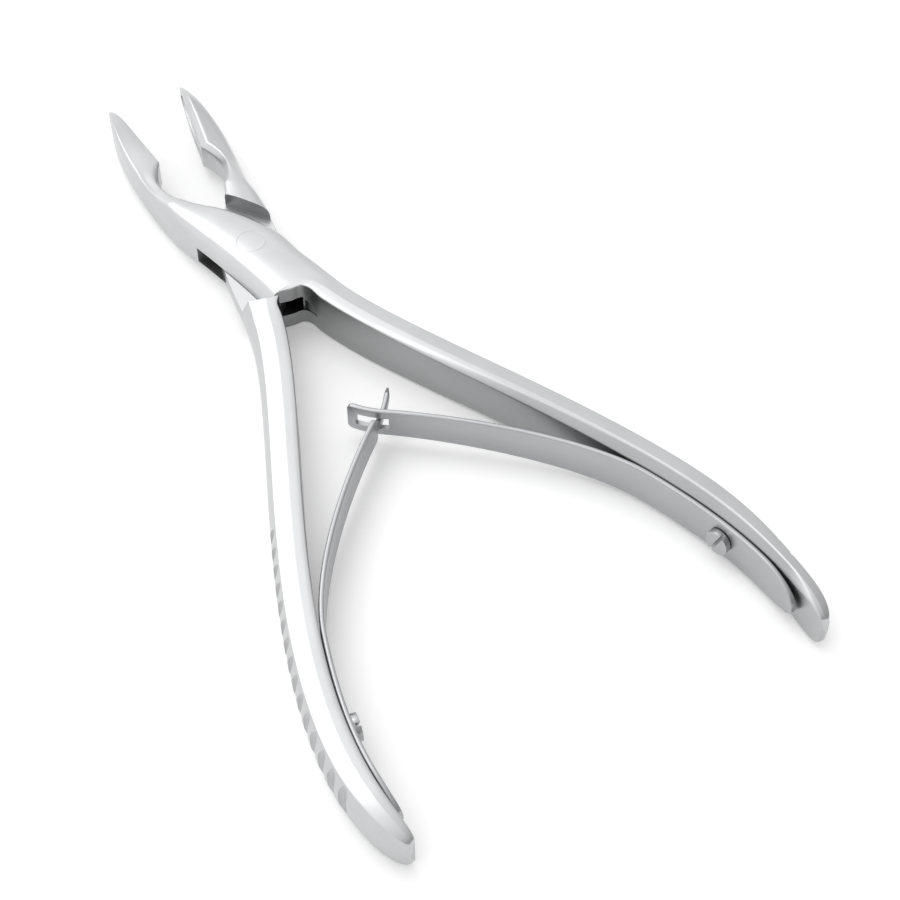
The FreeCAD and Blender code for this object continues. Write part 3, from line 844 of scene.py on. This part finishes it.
class Tree:
    """A node tree that is written as calls. A value that is a socket is linked, any other is set."""

    def __init__(self, tree):
        self.tree = tree
        tree.nodes.clear()

    def takes(self, **sockets):
        self.start = self.tree.nodes.new("NodeGroupInput")
        for label, value in sockets.items():
            kind = value if isinstance(value, str) else TAKEN_KINDS[type(value)]
            socket = self.tree.interface.new_socket(titled(label), in_out="INPUT", socket_type=kind)
            if not isinstance(value, str):
                socket.default_value = value

    def value(self, label):
        return self.start.outputs[titled(label)]

    def gives(self, **values):
        end = self.tree.nodes.new("NodeGroupOutput")
        for label, value in values.items():
            kind = "NodeSocket" + GIVEN_KINDS[value.type]
            self.tree.interface.new_socket(titled(label), in_out="OUTPUT", socket_type=kind)
            self.tree.links.new(value, end.inputs[titled(label)])

    def node(self, kind, inputs=None, **settings):
        node = self.tree.nodes.new(kind)
        for key, value in settings.items():
            setattr(node, key, value)
        for key, value in (inputs or {}).items():
            if isinstance(value, bpy.types.NodeSocket):
                self.tree.links.new(value, node.inputs[key])
            else:
                node.inputs[key].default_value = value
        return node

    def add(self, kind, inputs=None, out=0, **settings):
        """Adds a node and returns one of its outputs."""
        return self.node(kind, inputs, **settings).outputs[out]

    def math(self, operation, *values):
        return self.add("ShaderNodeMath", dict(enumerate(values)), operation=operation)

    def ranged(self, value, start, end, low=0.0, high=1.0, **settings):
        return self.add("ShaderNodeMapRange", {
            "Value": value, "From Min": start, "From Max": end, "To Min": low, "To Max": high}, **settings)

    def parts(self, vector):
        """The X, Y and Z of a vector."""
        return self.node("ShaderNodeSeparateXYZ", {0: vector}).outputs

    def vector(self, **parts):
        return self.add("ShaderNodeCombineXYZ", parts)

    def group(self, name, inputs=None):
        """Outputs of a shared node group."""
        return self.node("ShaderNodeGroup", inputs, node_tree=bpy.data.node_groups[name]).outputs

    def gives_painted(self, geometry):
        whole = self.add("GeometryNodeRealizeInstances", {"Geometry": geometry})
        material = self.value("material")
        self.gives(geometry=self.add("GeometryNodeSetMaterial", {"Geometry": whole, "Material": material}))


TAKEN_KINDS = {float: "NodeSocketFloat", int: "NodeSocketInt", tuple: "NodeSocketVector"}
GIVEN_KINDS = {"VALUE": "Float", "VECTOR": "Vector", "GEOMETRY": "Geometry"}


def shader_group(name):
    return Tree(bpy.data.node_groups.new(name, "ShaderNodeTree"))


def geometry_tree(name, **sockets):
    """Geometry node tree with its own inputs, which takes a geometry and a material too."""
    tree = Tree(bpy.data.node_groups.new(name, "GeometryNodeTree"))
    tree.takes(geometry="NodeSocketGeometry", **sockets, material="NodeSocketMaterial")
    return tree


def curve_object(name, points):
    """Open line through plan points at the middle height."""
    curve = bpy.data.curves.new(name, "CURVE")
    curve.dimensions = "3D"
    line = curve.splines.new("POLY")
    line.points.add(len(points) - 1)
    for target, point in zip(line.points, points):
        target.co = (point[0], point[1], MIDDLE, 1.0)
    return added(name, curve)


def shaped(obj, tree_name, name, **values):
    """Runs a geometry node tree on an object and returns the plain mesh object."""
    modifier = obj.modifiers.new(tree_name, "NODES")
    modifier.node_group = bpy.data.node_groups[tree_name]
    inputs = {}
    for item in modifier.node_group.interface.items_tree:
        if item.item_type == "SOCKET" and item.in_out == "INPUT":
            inputs[item.name] = item.identifier
    for label, value in values.items():
        modifier[inputs[titled(label)]] = value
    obj.update_tag()
    bpy.context.view_layer.update()
    return baked(obj, name)


def groove_tree():
    """Round grooves set along a line, each sunk into the surface beside it."""
    tree = geometry_tree(
        "Grip Grooves", count=15, pitch=3.16 * MM, radius=1.15 * MM, depth=0.55 * MM, height=8.4 * MM,
        outward=1.0)
    count = tree.value("count")
    radius = tree.value("radius")
    reach = tree.math("MULTIPLY", tree.math("SUBTRACT", count, 1.0), tree.value("pitch"))
    part = tree.add("GeometryNodeTrimCurve", {"Curve": tree.value("geometry"), "End": reach}, mode="LENGTH")
    points = tree.add("GeometryNodeResampleCurve", {"Curve": part, "Count": count})
    rise = tree.math("MULTIPLY", tree.math("SUBTRACT", radius, tree.value("depth")), tree.value("outward"))
    normal = tree.add("GeometryNodeInputNormal")
    offset = tree.add("ShaderNodeVectorMath", {0: normal, 3: rise}, operation="SCALE")
    moved = tree.add("GeometryNodeSetPosition", {"Geometry": points, "Offset": offset})
    tool = tree.add("GeometryNodeMeshCylinder", {
        "Vertices": CIRCLE_STEPS, "Radius": radius, "Depth": tree.value("height")})
    tree.gives_painted(tree.add("GeometryNodeInstanceOnPoints", {"Points": moved, "Instance": tool}))


def groove_cutter(hand):
    """Grooves across the back of a handle, evenly spaced along it."""
    grip = chosen("grip")
    edge = [handle_edge(hand, at, 1) for at in spread(CURVE_STEPS, GROOVE_START, 1.0 - HANDLE_TIP_SHARE)]
    return shaped(
        curve_object("groove_line", edge), "Grip Grooves", "grooves", count=grip.count, pitch=grip.pitch,
        radius=grip.radius, depth=grip.depth, height=BODY_THICKNESS * GROOVE_TOOL_HEIGHT,
        outward=-float(hand), material=bpy.data.materials["satin_forging"])


def leaf_tree():
    """Flat spring stock swept along a line, from one width to another, with rounded ends."""
    tree = geometry_tree(
        "Leaf Stock", thickness=0.8 * MM, start_width=6.6 * MM, end_width=5.0 * MM, end_thickness=1.0,
        taper_start=0.4, corner=0.28 * MM, root_rounding=2.6 * MM, tip_rounding=0.9 * MM, middle=MIDDLE)
    line = tree.add("GeometryNodeResampleCurve", {"Curve": tree.value("geometry"), "Count": 2 * CURVE_STEPS})
    place = tree.node("GeometryNodeSplineParameter").outputs

    def tapered(end):
        return tree.ranged(place["Factor"], tree.value("taper_start"), 1.0, 1.0, end)

    def rounded_end(distance, stretch, least):
        run = tree.math("SUBTRACT", 1.0, tree.math("DIVIDE", distance, stretch))
        inside = tree.math("MAXIMUM", run, 0.0)
        bow = tree.math("SQRT", tree.math("SUBTRACT", 1.0, tree.math("MULTIPLY", inside, inside)))
        return tree.math("MULTIPLY_ADD", bow, 1.0 - least, least)

    left = tree.math("SUBTRACT", tree.add("GeometryNodeSplineLength"), place["Length"])
    root_end = rounded_end(place["Length"], tree.value("root_rounding"), LEAF_ROOT_END)
    tip_end = rounded_end(left, tree.value("tip_rounding"), LEAF_TIP_END)
    width = tapered(tree.math("DIVIDE", tree.value("end_width"), tree.value("start_width")))
    width = tree.math("MULTIPLY", width, tree.math("MULTIPLY", root_end, tip_end))
    thinned = tapered(tree.value("end_thickness"))
    slim = tree.add("GeometryNodeSetCurveRadius", {"Curve": line, "Radius": thinned})
    captured = tree.node("GeometryNodeCaptureAttribute", domain="POINT")
    captured.capture_items.new("FLOAT", "Scale")
    tree.tree.links.new(slim, captured.inputs["Geometry"])
    tree.tree.links.new(tree.math("DIVIDE", width, thinned), captured.inputs["Scale"])
    stock = tree.add("GeometryNodeCurvePrimitiveQuadrilateral", {
        "Width": tree.value("thickness"), "Height": tree.value("start_width")})
    rounded = tree.add("GeometryNodeFilletCurve", {
        "Curve": stock, "Radius": tree.value("corner"), "Count": ROUND_STEPS}, mode="POLY")
    swept = tree.add("GeometryNodeCurveToMesh", {
        "Curve": captured.outputs["Geometry"], "Profile Curve": rounded, "Fill Caps": True,
        "Scale": thinned})
    at = tree.parts(tree.add("GeometryNodeInputPosition"))
    above = tree.math("SUBTRACT", at["Z"], tree.value("middle"))
    height = tree.math("MULTIPLY_ADD", above, captured.outputs["Scale"], tree.value("middle"))
    moved = tree.vector(X=at["X"], Y=at["Y"], Z=height)
    tree.gives_painted(tree.add("GeometryNodeSetPosition", {"Geometry": swept, "Position": moved}))


def screw_tree():
    """Slotted screw that stands on its head's underside at height zero, pointing up."""
    tree = geometry_tree(
        "Slotted Screw", head_radius=2.7 * MM, head_height=1.8 * MM, shank_radius=1.3 * MM,
        shank_length=4.0 * MM, slot_width=0.8 * MM, slot_depth=0.9 * MM, slot_turn=0.0)

    def rod(steps, radius, depth):
        return tree.add("GeometryNodeMeshCylinder", {"Vertices": steps, "Radius": radius, "Depth": depth})

    def lifted(mesh, height, turn=0.0):
        return tree.add("GeometryNodeTransform", {
            "Geometry": mesh, "Translation": tree.vector(Z=height), "Rotation": tree.vector(Z=turn)})

    radius = tree.value("head_radius")
    height = tree.value("head_height")
    depth = tree.value("shank_length")
    head = lifted(rod(CIRCLE_STEPS, radius, height), tree.math("MULTIPLY", height, 0.5))
    down = tree.math("MULTIPLY_ADD", tree.math("MULTIPLY", depth, 0.5), -1.0, SHANK_OVERLAP)
    shank = lifted(rod(CIRCLE_STEPS // 2, tree.value("shank_radius"), depth), down)
    union = tree.node("GeometryNodeMeshBoolean", {"Mesh 2": head}, operation="UNION", solver="EXACT")
    tree.tree.links.new(shank, union.inputs["Mesh 2"])
    size = tree.vector(
        X=tree.math("MULTIPLY", radius, BLADE_LENGTH), Y=tree.value("slot_width"),
        Z=tree.math("MULTIPLY", tree.value("slot_depth"), 2.0))
    blade = lifted(tree.add("GeometryNodeMeshCube", {"Size": size}), height, tree.value("slot_turn"))
    tree.gives_painted(tree.add("GeometryNodeMeshBoolean", {
        "Mesh 1": union.outputs[0], "Mesh 2": blade}, operation="DIFFERENCE", solver="EXACT"))


# Leaf springs and screws

def leaf_seat(at):
    """Middle of the +X leaf where it lies along the inner face of its handle."""
    spring = chosen("spring")
    point, outward = handle_line(at)
    return point - outward * (handle_width(at) / 2.0 + spring.seat_gap + spring.thickness / 2.0)


def leaf_middle(run, reach):
    """Middle of the +X leaf: run 0 to 1 on the handle, 1 to 2 in the bend, 2 to 3 in the tip."""
    if run < 1.0:
        return leaf_seat(mix(LEAF_ROOT_SHARE, LEAF_LIFT_SHARE, run))
    crossing = plan(LEAF_CROSSING)
    heading = unit(np.array(LEAF_HEADING))
    if run < 2.0:
        lift = leaf_seat(LEAF_LIFT_SHARE)
        upward = leftwards(handle_line(LEAF_LIFT_SHARE)[1])
        poles = [lift, lift + upward * LEAF_ROOT_PULL, crossing - heading * LEAF_TIP_PULL, crossing]
        return bezier(poles, run - 1.0)[0]
    tip = run - 2.0
    return crossing + mix(heading, unit(np.array(LEAF_TIP_HEADING)), tip) * reach * tip


def leaf_strip(hand, name, runs, **shape):
    """A stretch of leaf stock along its run."""
    spring = chosen("spring")
    points = [handed(hand, leaf_middle(run, TIP_REACH[hand])) for run in runs]
    return shaped(
        curve_object(name + "_line", points), "Leaf Stock", name, thickness=spring.thickness,
        corner=spring.corner, middle=MIDDLE, material=bpy.data.materials["spring_steel"], **shape)


def leaf_body(hand, name, last_run):
    """The wide part of a leaf, from its rounded root to the end of its run."""
    spring = chosen("spring")
    return leaf_strip(
        hand, name, spread(3 * CURVE_STEPS, 0.0, last_run), start_width=spring.root_width,
        end_width=spring.tip_width, end_thickness=1.0, taper_start=BODY_TAPER_START,
        root_rounding=spring.root_rounding, tip_rounding=spring.tip_rounding)


def along_screw(hand):
    """Matrix that stands something on a handle's inner face, upright across its screw's axis."""
    seat = handle_edge(hand, SCREW_SHARE, -1)
    inward = unit(seat - handle_edge(hand, SCREW_SHARE, 1))
    axis = Vector((*inward, 0.0))
    upright = Vector((0.0, 0.0, 1.0))
    turn = Matrix((upright, axis.cross(upright), axis)).transposed().to_4x4()
    return Matrix.Translation((*seat, MIDDLE)) @ turn


def screw_hole(hand, clearance):
    """Round cutter along the screw's axis."""
    screw = chosen("screw")
    outline = circle(screw.diameter / 2.0 + clearance)
    hole = prism("screw_hole", outline, -screw.depth - clearance, HOLE_REACH)
    hole.data.transform(along_screw(hand))
    return hole


def make_slotted_leaf():
    spring = chosen("spring")
    reach = TIP_REACH[BOX_HAND]
    strip = leaf_body(BOX_HAND, "slotted_leaf_stock", 3.0)
    inner = leaf_middle(3.0 - spring.window_wall / reach, reach)
    towards = unit(leaf_middle(2.0, reach) - leaf_middle(3.0, reach))
    aside = leftwards(towards) * WINDOW_REACH * spring.thickness
    far = inner + towards * spring.window_length
    outline = [inner - aside, far - aside, far + aside, inner + aside]
    half = spring.window_height / 2.0
    window = prism("window", outline, MIDDLE - half, MIDDLE + half)
    hole = screw_hole(BOX_HAND, chosen("screw").hole_clearance)
    return combined(strip, "slotted_leaf", cutters=(window, hole))


def make_tongue_leaf():
    spring = chosen("spring")
    reach = TIP_REACH[CROSS_HAND]
    bend_length = np.linalg.norm(leaf_middle(2.0, reach) - leaf_middle(1.0, reach))
    shoulder = 2.0 - (spring.tongue_length - reach) / bend_length
    strip = leaf_body(CROSS_HAND, "tongue_leaf_stock", shoulder)
    tongue = leaf_strip(
        CROSS_HAND, "tongue_stock", spread(CURVE_STEPS, shoulder - TONGUE_OVERLAP, 3.0),
        start_width=spring.tongue_width, end_width=spring.tongue_point, end_thickness=spring.point_thickness,
        taper_start=TONGUE_TAPER_START, root_rounding=BLUNT_END, tip_rounding=BLUNT_END)
    hole = screw_hole(CROSS_HAND, chosen("screw").hole_clearance)
    return combined(strip, "tongue_leaf", cutters=(hole,), additions=(tongue,))


def make_spring_screw(hand, name):
    """Slotted screw along its hole."""
    screw = chosen("screw")
    spring = chosen("spring")
    under_head = spring.seat_gap + spring.thickness + screw.head_gap
    obj = shaped(
        added(name, bpy.data.meshes.new(name)), "Slotted Screw", name, head_radius=screw.head_diameter / 2.0,
        head_height=screw.head_height, shank_radius=screw.diameter / 2.0,
        shank_length=screw.depth + under_head, slot_width=screw.slot_width, slot_depth=screw.slot_depth,
        slot_turn=hand * screw.slot_turn, material=bpy.data.materials["turned_steel"])
    bevel = obj.modifiers.new("Edges", "BEVEL")
    bevel.width = screw.head_round
    bevel.segments = ROUND_STEPS
    bevel.limit_method = "ANGLE"
    obj = baked(obj, name)
    obj.data.transform(along_screw(hand) @ Matrix.Translation((0.0, 0.0, under_head)))
    return obj


def make_pivot_pin():
    """Pin whose riveted ends are ground flush with the crowned lock."""
    limit = blank(BOX_HAND, "pin_limit")
    stock = tall_prism("pin_stock", circle(PIN_DIAMETER / 2.0))
    return combined(stock, "pivot_rivet", limits=(limit,))


# Finishes

def grain_group():
    """Fine matt grain of a blasted and polished surface, as a height and a tone."""
    tree = shader_group("Satin Grain")
    tree.takes(scale=6500.0, stretch=(1.0, 0.35, 1.0))
    place = tree.add("ShaderNodeTexCoord", out=3)
    laid = tree.add("ShaderNodeVectorMath", {0: place, 1: tree.value("stretch")}, operation="MULTIPLY")
    fine = tree.add("ShaderNodeTexNoise", {"Vector": laid, "Scale": tree.value("scale"), "Detail": 2.0})
    tree.gives(height=fine, tone=fine)


def marks_group():
    """Broad soft marks left by polishing and handling."""
    tree = shader_group("Handling Marks")
    tree.takes(scale=90.0)
    place = tree.add("ShaderNodeTexCoord", out=3)
    broad = tree.add("ShaderNodeTexNoise", {
        "Vector": place, "Scale": tree.value("scale"), "Detail": 4.0, "Distortion": 0.6})
    tree.gives(tone=tree.ranged(broad, *MARK_NOISE))


def cavity_shade_group():
    """Painted shade in the piece's own grooves, slots and inner corners, from its ambient occlusion."""
    tree = shader_group("Cavity Shade")
    tree.takes(reach=5.0 * MM, depth=0.5)
    shade = tree.add(
        "ShaderNodeAmbientOcclusion", {"Distance": tree.value("reach")}, out=1, samples=8, only_local=True)
    least = tree.math("SUBTRACT", 1.0, tree.value("depth"))
    tree.gives(tone=tree.ranged(shade, *CAVITY_SKY, least))


def inner_face_shade_group():
    """Painted shade on the handles' inner faces, darkest near the lock, and on the right handle's bevel."""
    tree = shader_group("Inner Faces")
    tree.takes(near_tone=0.62, far_tone=0.88, bevel_tone=0.68)
    across = tree.parts(tree.add("ShaderNodeUVMap", uv_map=FACE_SHADE_MAP))["Y"]
    place = tree.parts(tree.add("ShaderNodeTexCoord", out=3))

    def faded(value, fade, low=0.0, high=1.0):
        return tree.ranged(value, fade[0] * MM, fade[1] * MM, low, high)

    def toned(tone, *masks):
        mask = masks[0]
        for other in masks[1:]:
            mask = tree.math("MULTIPLY", mask, other)
        return tree.ranged(mask, 0.0, 1.0, 1.0, tone)

    along = faded(place["Y"], FACE_ALONG, tree.value("near_tone"), tree.value("far_tone"))
    face = toned(along, faded(across, FACE_LOWER), faded(across, FACE_UPPER), faded(place["Y"], FACE_BEHIND))
    bevel = toned(
        tree.value("bevel_tone"), faded(across, BEVEL_RISE), faded(across, BEVEL_RIDGE),
        faded(place["X"], BEVEL_RIGHT), faded(place["Y"], BEVEL_REAR), faded(place["Y"], BEVEL_KEPT))
    tree.gives(tone=tree.math("MULTIPLY", face, bevel))


def edge_group():
    """Softened normal along machined edges, and a mask of where those edges are."""
    tree = shader_group("Polished Edge")
    tree.takes(radius=0.12 * MM)
    soft = tree.add("ShaderNodeBevel", {"Radius": tree.value("radius")}, samples=6)
    plain = tree.add("ShaderNodeNewGeometry", out=1)
    match = tree.add("ShaderNodeVectorMath", {0: soft, 1: plain}, out=1, operation="DOT_PRODUCT")
    tree.gives(normal=soft, mask=tree.ranged(match, *EDGE_MATCH))


def steel(name, base, roughness, bump, grain_values, painted_inner_shade=False):
    """Bright steel whose tone and gloss vary a little with its grain, its marks and its edges, and whose
    colour carries painted shade.
    """
    finish = chosen("finish")
    material = bpy.data.materials.new(name)
    material.use_nodes = True
    tree = Tree(material.node_tree)
    grain = tree.group("Satin Grain", grain_values)
    marks = tree.group("Handling Marks")["Tone"]
    edge = tree.group("Polished Edge", {"Radius": finish.edge_radius})
    cavity = tree.group("Cavity Shade", {"Depth": finish.cavity_shade_depth})["Tone"]
    # painted shade in the piece's own grooves, slots and inner corners darkens its colour
    tone = tree.math("MULTIPLY", tree.ranged(marks, 0.0, 1.0, *MARK_TONES), cavity)
    tone = tree.math("MULTIPLY", tone, tree.ranged(edge["Mask"], 0.0, 1.0, *EDGE_TONES))
    # painted shade darkens the handles' inner faces and the right handle's bevel
    if painted_inner_shade:
        tone = tree.math("MULTIPLY", tone, tree.group("Inner Faces")["Tone"])
    tinted = tree.add("ShaderNodeVectorMath", {0: tuple(base), 3: tone}, operation="SCALE")
    rough = tree.ranged(grain["Tone"], 0.0, 1.0, *(roughness + gloss for gloss in GRAIN_GLOSS))
    relief = tree.add("ShaderNodeBump", {
        "Strength": bump, "Distance": GRAIN_DEPTH, "Height": grain["Height"], "Normal": edge["Normal"]})
    surface = tree.add("ShaderNodeBsdfPrincipled", {
        "Base Color": tinted, "Metallic": 1.0, "Normal": relief,
        "Roughness": tree.math("MULTIPLY_ADD", marks, MARK_GLOSS, rough)})
    tree.node("ShaderNodeOutputMaterial", {"Surface": surface})


def make_finishes():
    """All shared node groups and materials of the forceps."""
    finish = chosen("finish")
    for make in (grain_group, marks_group, edge_group, cavity_shade_group, inner_face_shade_group):
        make()
    steel("satin_forging", finish.arm_steel, finish.arm_roughness, FORGED_BUMP, {}, painted_inner_shade=True)
    steel("spring_steel", finish.spring_steel, finish.spring_roughness, ROLLED_BUMP, ROLLED_GRAIN)
    steel("turned_steel", finish.screw_steel, finish.screw_roughness, TURNED_BUMP, TURNED_GRAIN)
    for make in (groove_tree, leaf_tree, screw_tree):
        make()


# Stage

def make_floor():
    """White floor that keeps the shadow and shows white to the camera and in the steel."""
    finish = chosen("finish")
    side = FLOOR_SIZE / 2.0
    mesh = bpy.data.meshes.new("floor")
    corners = [(-side, -side, 0.0), (side, -side, 0.0), (side, side, 0.0), (-side, side, 0.0)]
    mesh.from_pydata(corners, [], [(0, 1, 2, 3)])
    floor = added("floor", mesh)
    material = bpy.data.materials.new("white_floor")
    material.use_nodes = True
    tree = Tree(material.node_tree)
    paint = tree.add("ShaderNodeBsdfDiffuse", {"Color": (*finish.floor, 1.0)})
    ray = tree.node("ShaderNodeLightPath").outputs
    seen = tree.math("ADD", ray["Is Camera Ray"], ray["Is Glossy Ray"])
    seen = tree.math("ADD", seen, ray["Is Transmission Ray"])
    lift = tree.math("MULTIPLY", seen, finish.floor_lift)
    glow = tree.add("ShaderNodeEmission", {"Color": WHITE, "Strength": lift})
    tree.node("ShaderNodeOutputMaterial", {"Surface": tree.add("ShaderNodeAddShader", {0: paint, 1: glow})})
    mesh.materials.append(material)


def make_world():
    """Soft room light, brighter from above and from the side of the lamp."""
    finish = chosen("finish")
    world = bpy.data.worlds.new("soft_room")
    world.use_nodes = True
    tree = Tree(world.node_tree)
    way = tree.add("ShaderNodeTexCoord", out=0)
    lean = tree.add(
        "ShaderNodeVectorMath", {0: way, 1: tuple(SKY_DIRECTION)}, out=1, operation="DOT_PRODUCT")
    glow = tree.ranged(
        lean, SKY_DIM_SIDE, SKY_BRIGHT_SIDE, finish.sky_dim, finish.sky_bright,
        interpolation_type="SMOOTHSTEP")
    sky = tree.add("ShaderNodeBackground", {"Color": WHITE, "Strength": glow})
    tree.node("ShaderNodeOutputWorld", {"Surface": sky})
    bpy.context.scene.world = world


def make_lamp():
    """Large soft lamp on the far side, which whitens the upper faces."""
    lamp = bpy.data.lights.new("soft_lamp", "AREA")
    lamp.shape = "DISK"
    lamp.size = KEY_SIZE
    lamp.energy = chosen("finish").lamp_power
    obj = added("soft_lamp", lamp)
    obj.location = TARGET + KEY_DIRECTION * KEY_DISTANCE
    obj.rotation_euler = KEY_DIRECTION.to_track_quat("Z", "Y").to_euler()


def make_camera():
    """Camera at the photograph's angle."""
    az, el, roll = CAMERA_AZIMUTH, CAMERA_ELEVATION, CAMERA_ROLL
    back = Vector((math.sin(az) * math.cos(el), -math.cos(az) * math.cos(el), math.sin(el)))
    right = Vector((math.cos(az), math.sin(az), 0.0))
    up = back.cross(right)
    tilted_right = right * math.cos(roll) + up * math.sin(roll)
    tilted_up = up * math.cos(roll) - right * math.sin(roll)
    lens = bpy.data.cameras.new("camera")
    lens.lens = CAMERA_LENS
    lens.sensor_width = SENSOR_WIDTH
    lens.sensor_fit = "HORIZONTAL"
    lens.clip_start = NEAR_CLIP
    camera = added("camera", lens)
    turn = Matrix((tilted_right, tilted_up, back)).transposed().to_4x4()
    camera.matrix_world = Matrix.Translation(TARGET + back * CAMERA_DISTANCE) @ turn
    bpy.context.scene.camera = camera


# Operators

def forge(hand, cutters):
    """Cuts an arm from its blank and gives it its finish."""
    node = ARM_NODES[hand]
    body = blank(hand, node + "_blank")
    cutters += [cup_cutter(hand), groove_cutter(hand), screw_hole(hand, 0.0)]
    finished(combined(body, node + "_forging", cutters=cutters), "satin_forging", node, node)


class FORCEPS_OT_finishes(bpy.types.Operator):
    """Make the materials and node trees that the pieces share"""
    bl_idname = "forceps.finishes"
    bl_label = "Make Finishes"

    def execute(self, context):
        make_finishes()
        return {"FINISHED"}


class FORCEPS_OT_stage(bpy.types.Operator):
    """Make the camera, the floor and the light"""
    bl_idname = "forceps.stage"
    bl_label = "Make Stage"

    def execute(self, context):
        context.scene.view_settings.view_transform = "Standard"
        make_camera()
        make_floor()
        make_world()
        make_lamp()
        return {"FINISHED"}


class FORCEPS_OT_box_arm(bpy.types.Operator):
    """Forge the box arm, and cut its slot, cup, grooves and holes"""
    bl_idname = "forceps.box_arm"
    bl_label = "Make Box Arm"

    def execute(self, context):
        forge(BOX_HAND, [slot_cutter(), slot_runout(), pin_hole(RIVETED_CLEARANCE)])
        return {"FINISHED"}


class FORCEPS_OT_cross_arm(bpy.types.Operator):
    """Forge the cross arm, and cut its cheek recesses, cup, grooves and holes"""
    bl_idname = "forceps.cross_arm"
    bl_label = "Make Cross Arm"

    def execute(self, context):
        forge(CROSS_HAND, cheek_cutters() + [pin_hole(chosen("lock").pin_clearance)])
        return {"FINISHED"}


class FORCEPS_OT_pivot_pin(bpy.types.Operator):
    """Make the riveted pivot pin"""
    bl_idname = "forceps.pivot_pin"
    bl_label = "Make Pivot Pin"

    def execute(self, context):
        finished(make_pivot_pin(), "satin_forging", "box_arm", "pivot_pin")
        return {"FINISHED"}


class FORCEPS_OT_leaf_springs(bpy.types.Operator):
    """Bend the two leaf springs, each from its handle to where they cross"""
    bl_idname = "forceps.leaf_springs"
    bl_label = "Make Leaf Springs"

    def execute(self, context):
        for hand, make in ((BOX_HAND, make_slotted_leaf), (CROSS_HAND, make_tongue_leaf)):
            leaf = finished(make(), "spring_steel", None, LEAF_NODES[hand])
            start = handed(hand, leaf_middle(1.0, TIP_REACH[hand]))
            end = handed(hand, leaf_middle(LEAF_FREE_RUN, TIP_REACH[hand]))
            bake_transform(leaf)
        return {"FINISHED"}


class FORCEPS_OT_spring_screws(bpy.types.Operator):
    """Make the slotted screws that hold the leaf springs"""
    bl_idname = "forceps.spring_screws"
    bl_label = "Make Spring Screws"

    def execute(self, context):
        for hand in (BOX_HAND, CROSS_HAND):
            screw = make_spring_screw(hand, SCREW_NODES[hand].replace("_screw", "_slotted_screw"))
            finished(screw, "turned_steel", ARM_NODES[hand], SCREW_NODES[hand])
        return {"FINISHED"}


class FORCEPS_PT_panel(bpy.types.Panel):
    """Sizes, finishes and makers of the forceps"""
    bl_idname = "FORCEPS_PT_panel"
    bl_label = "Bone Cutting Forceps"
    bl_space_type = "VIEW_3D"
    bl_region_type = "UI"
    bl_category = "Forceps"

    def draw(self, context):
        layout = self.layout
        for operator in OPERATORS:
            layout.operator(operator.bl_idname)
        for settings in SETTINGS:
            group = getattr(context.scene, settings)
            box = layout.box()
            box.label(text=titled(settings))
            for key in group.__annotations__:
                box.prop(group, key)


OPERATORS = (
    FORCEPS_OT_finishes,
    FORCEPS_OT_stage,
    FORCEPS_OT_box_arm,
    FORCEPS_OT_cross_arm,
    FORCEPS_OT_pivot_pin,
    FORCEPS_OT_leaf_springs,
    FORCEPS_OT_spring_screws,
)
CLASSES = (*SETTINGS.values(), *OPERATORS, FORCEPS_PT_panel)


def register():
    for kind in CLASSES:
        bpy.utils.register_class(kind)
    for name, kind in SETTINGS.items():
        setattr(bpy.types.Scene, name, PointerProperty(type=kind))


def unregister():
    for name in SETTINGS:
        delattr(bpy.types.Scene, name)
    for kind in reversed(CLASSES):
        bpy.utils.unregister_class(kind)


def main():
    register()
    bpy.ops.forceps.finishes()
    bpy.ops.forceps.stage()
    bpy.ops.forceps.box_arm()
    bpy.ops.forceps.cross_arm()
    bpy.ops.forceps.pivot_pin()
    bpy.ops.forceps.leaf_springs()
    bpy.ops.forceps.spring_screws()


if __name__ == "__main__":
    main()
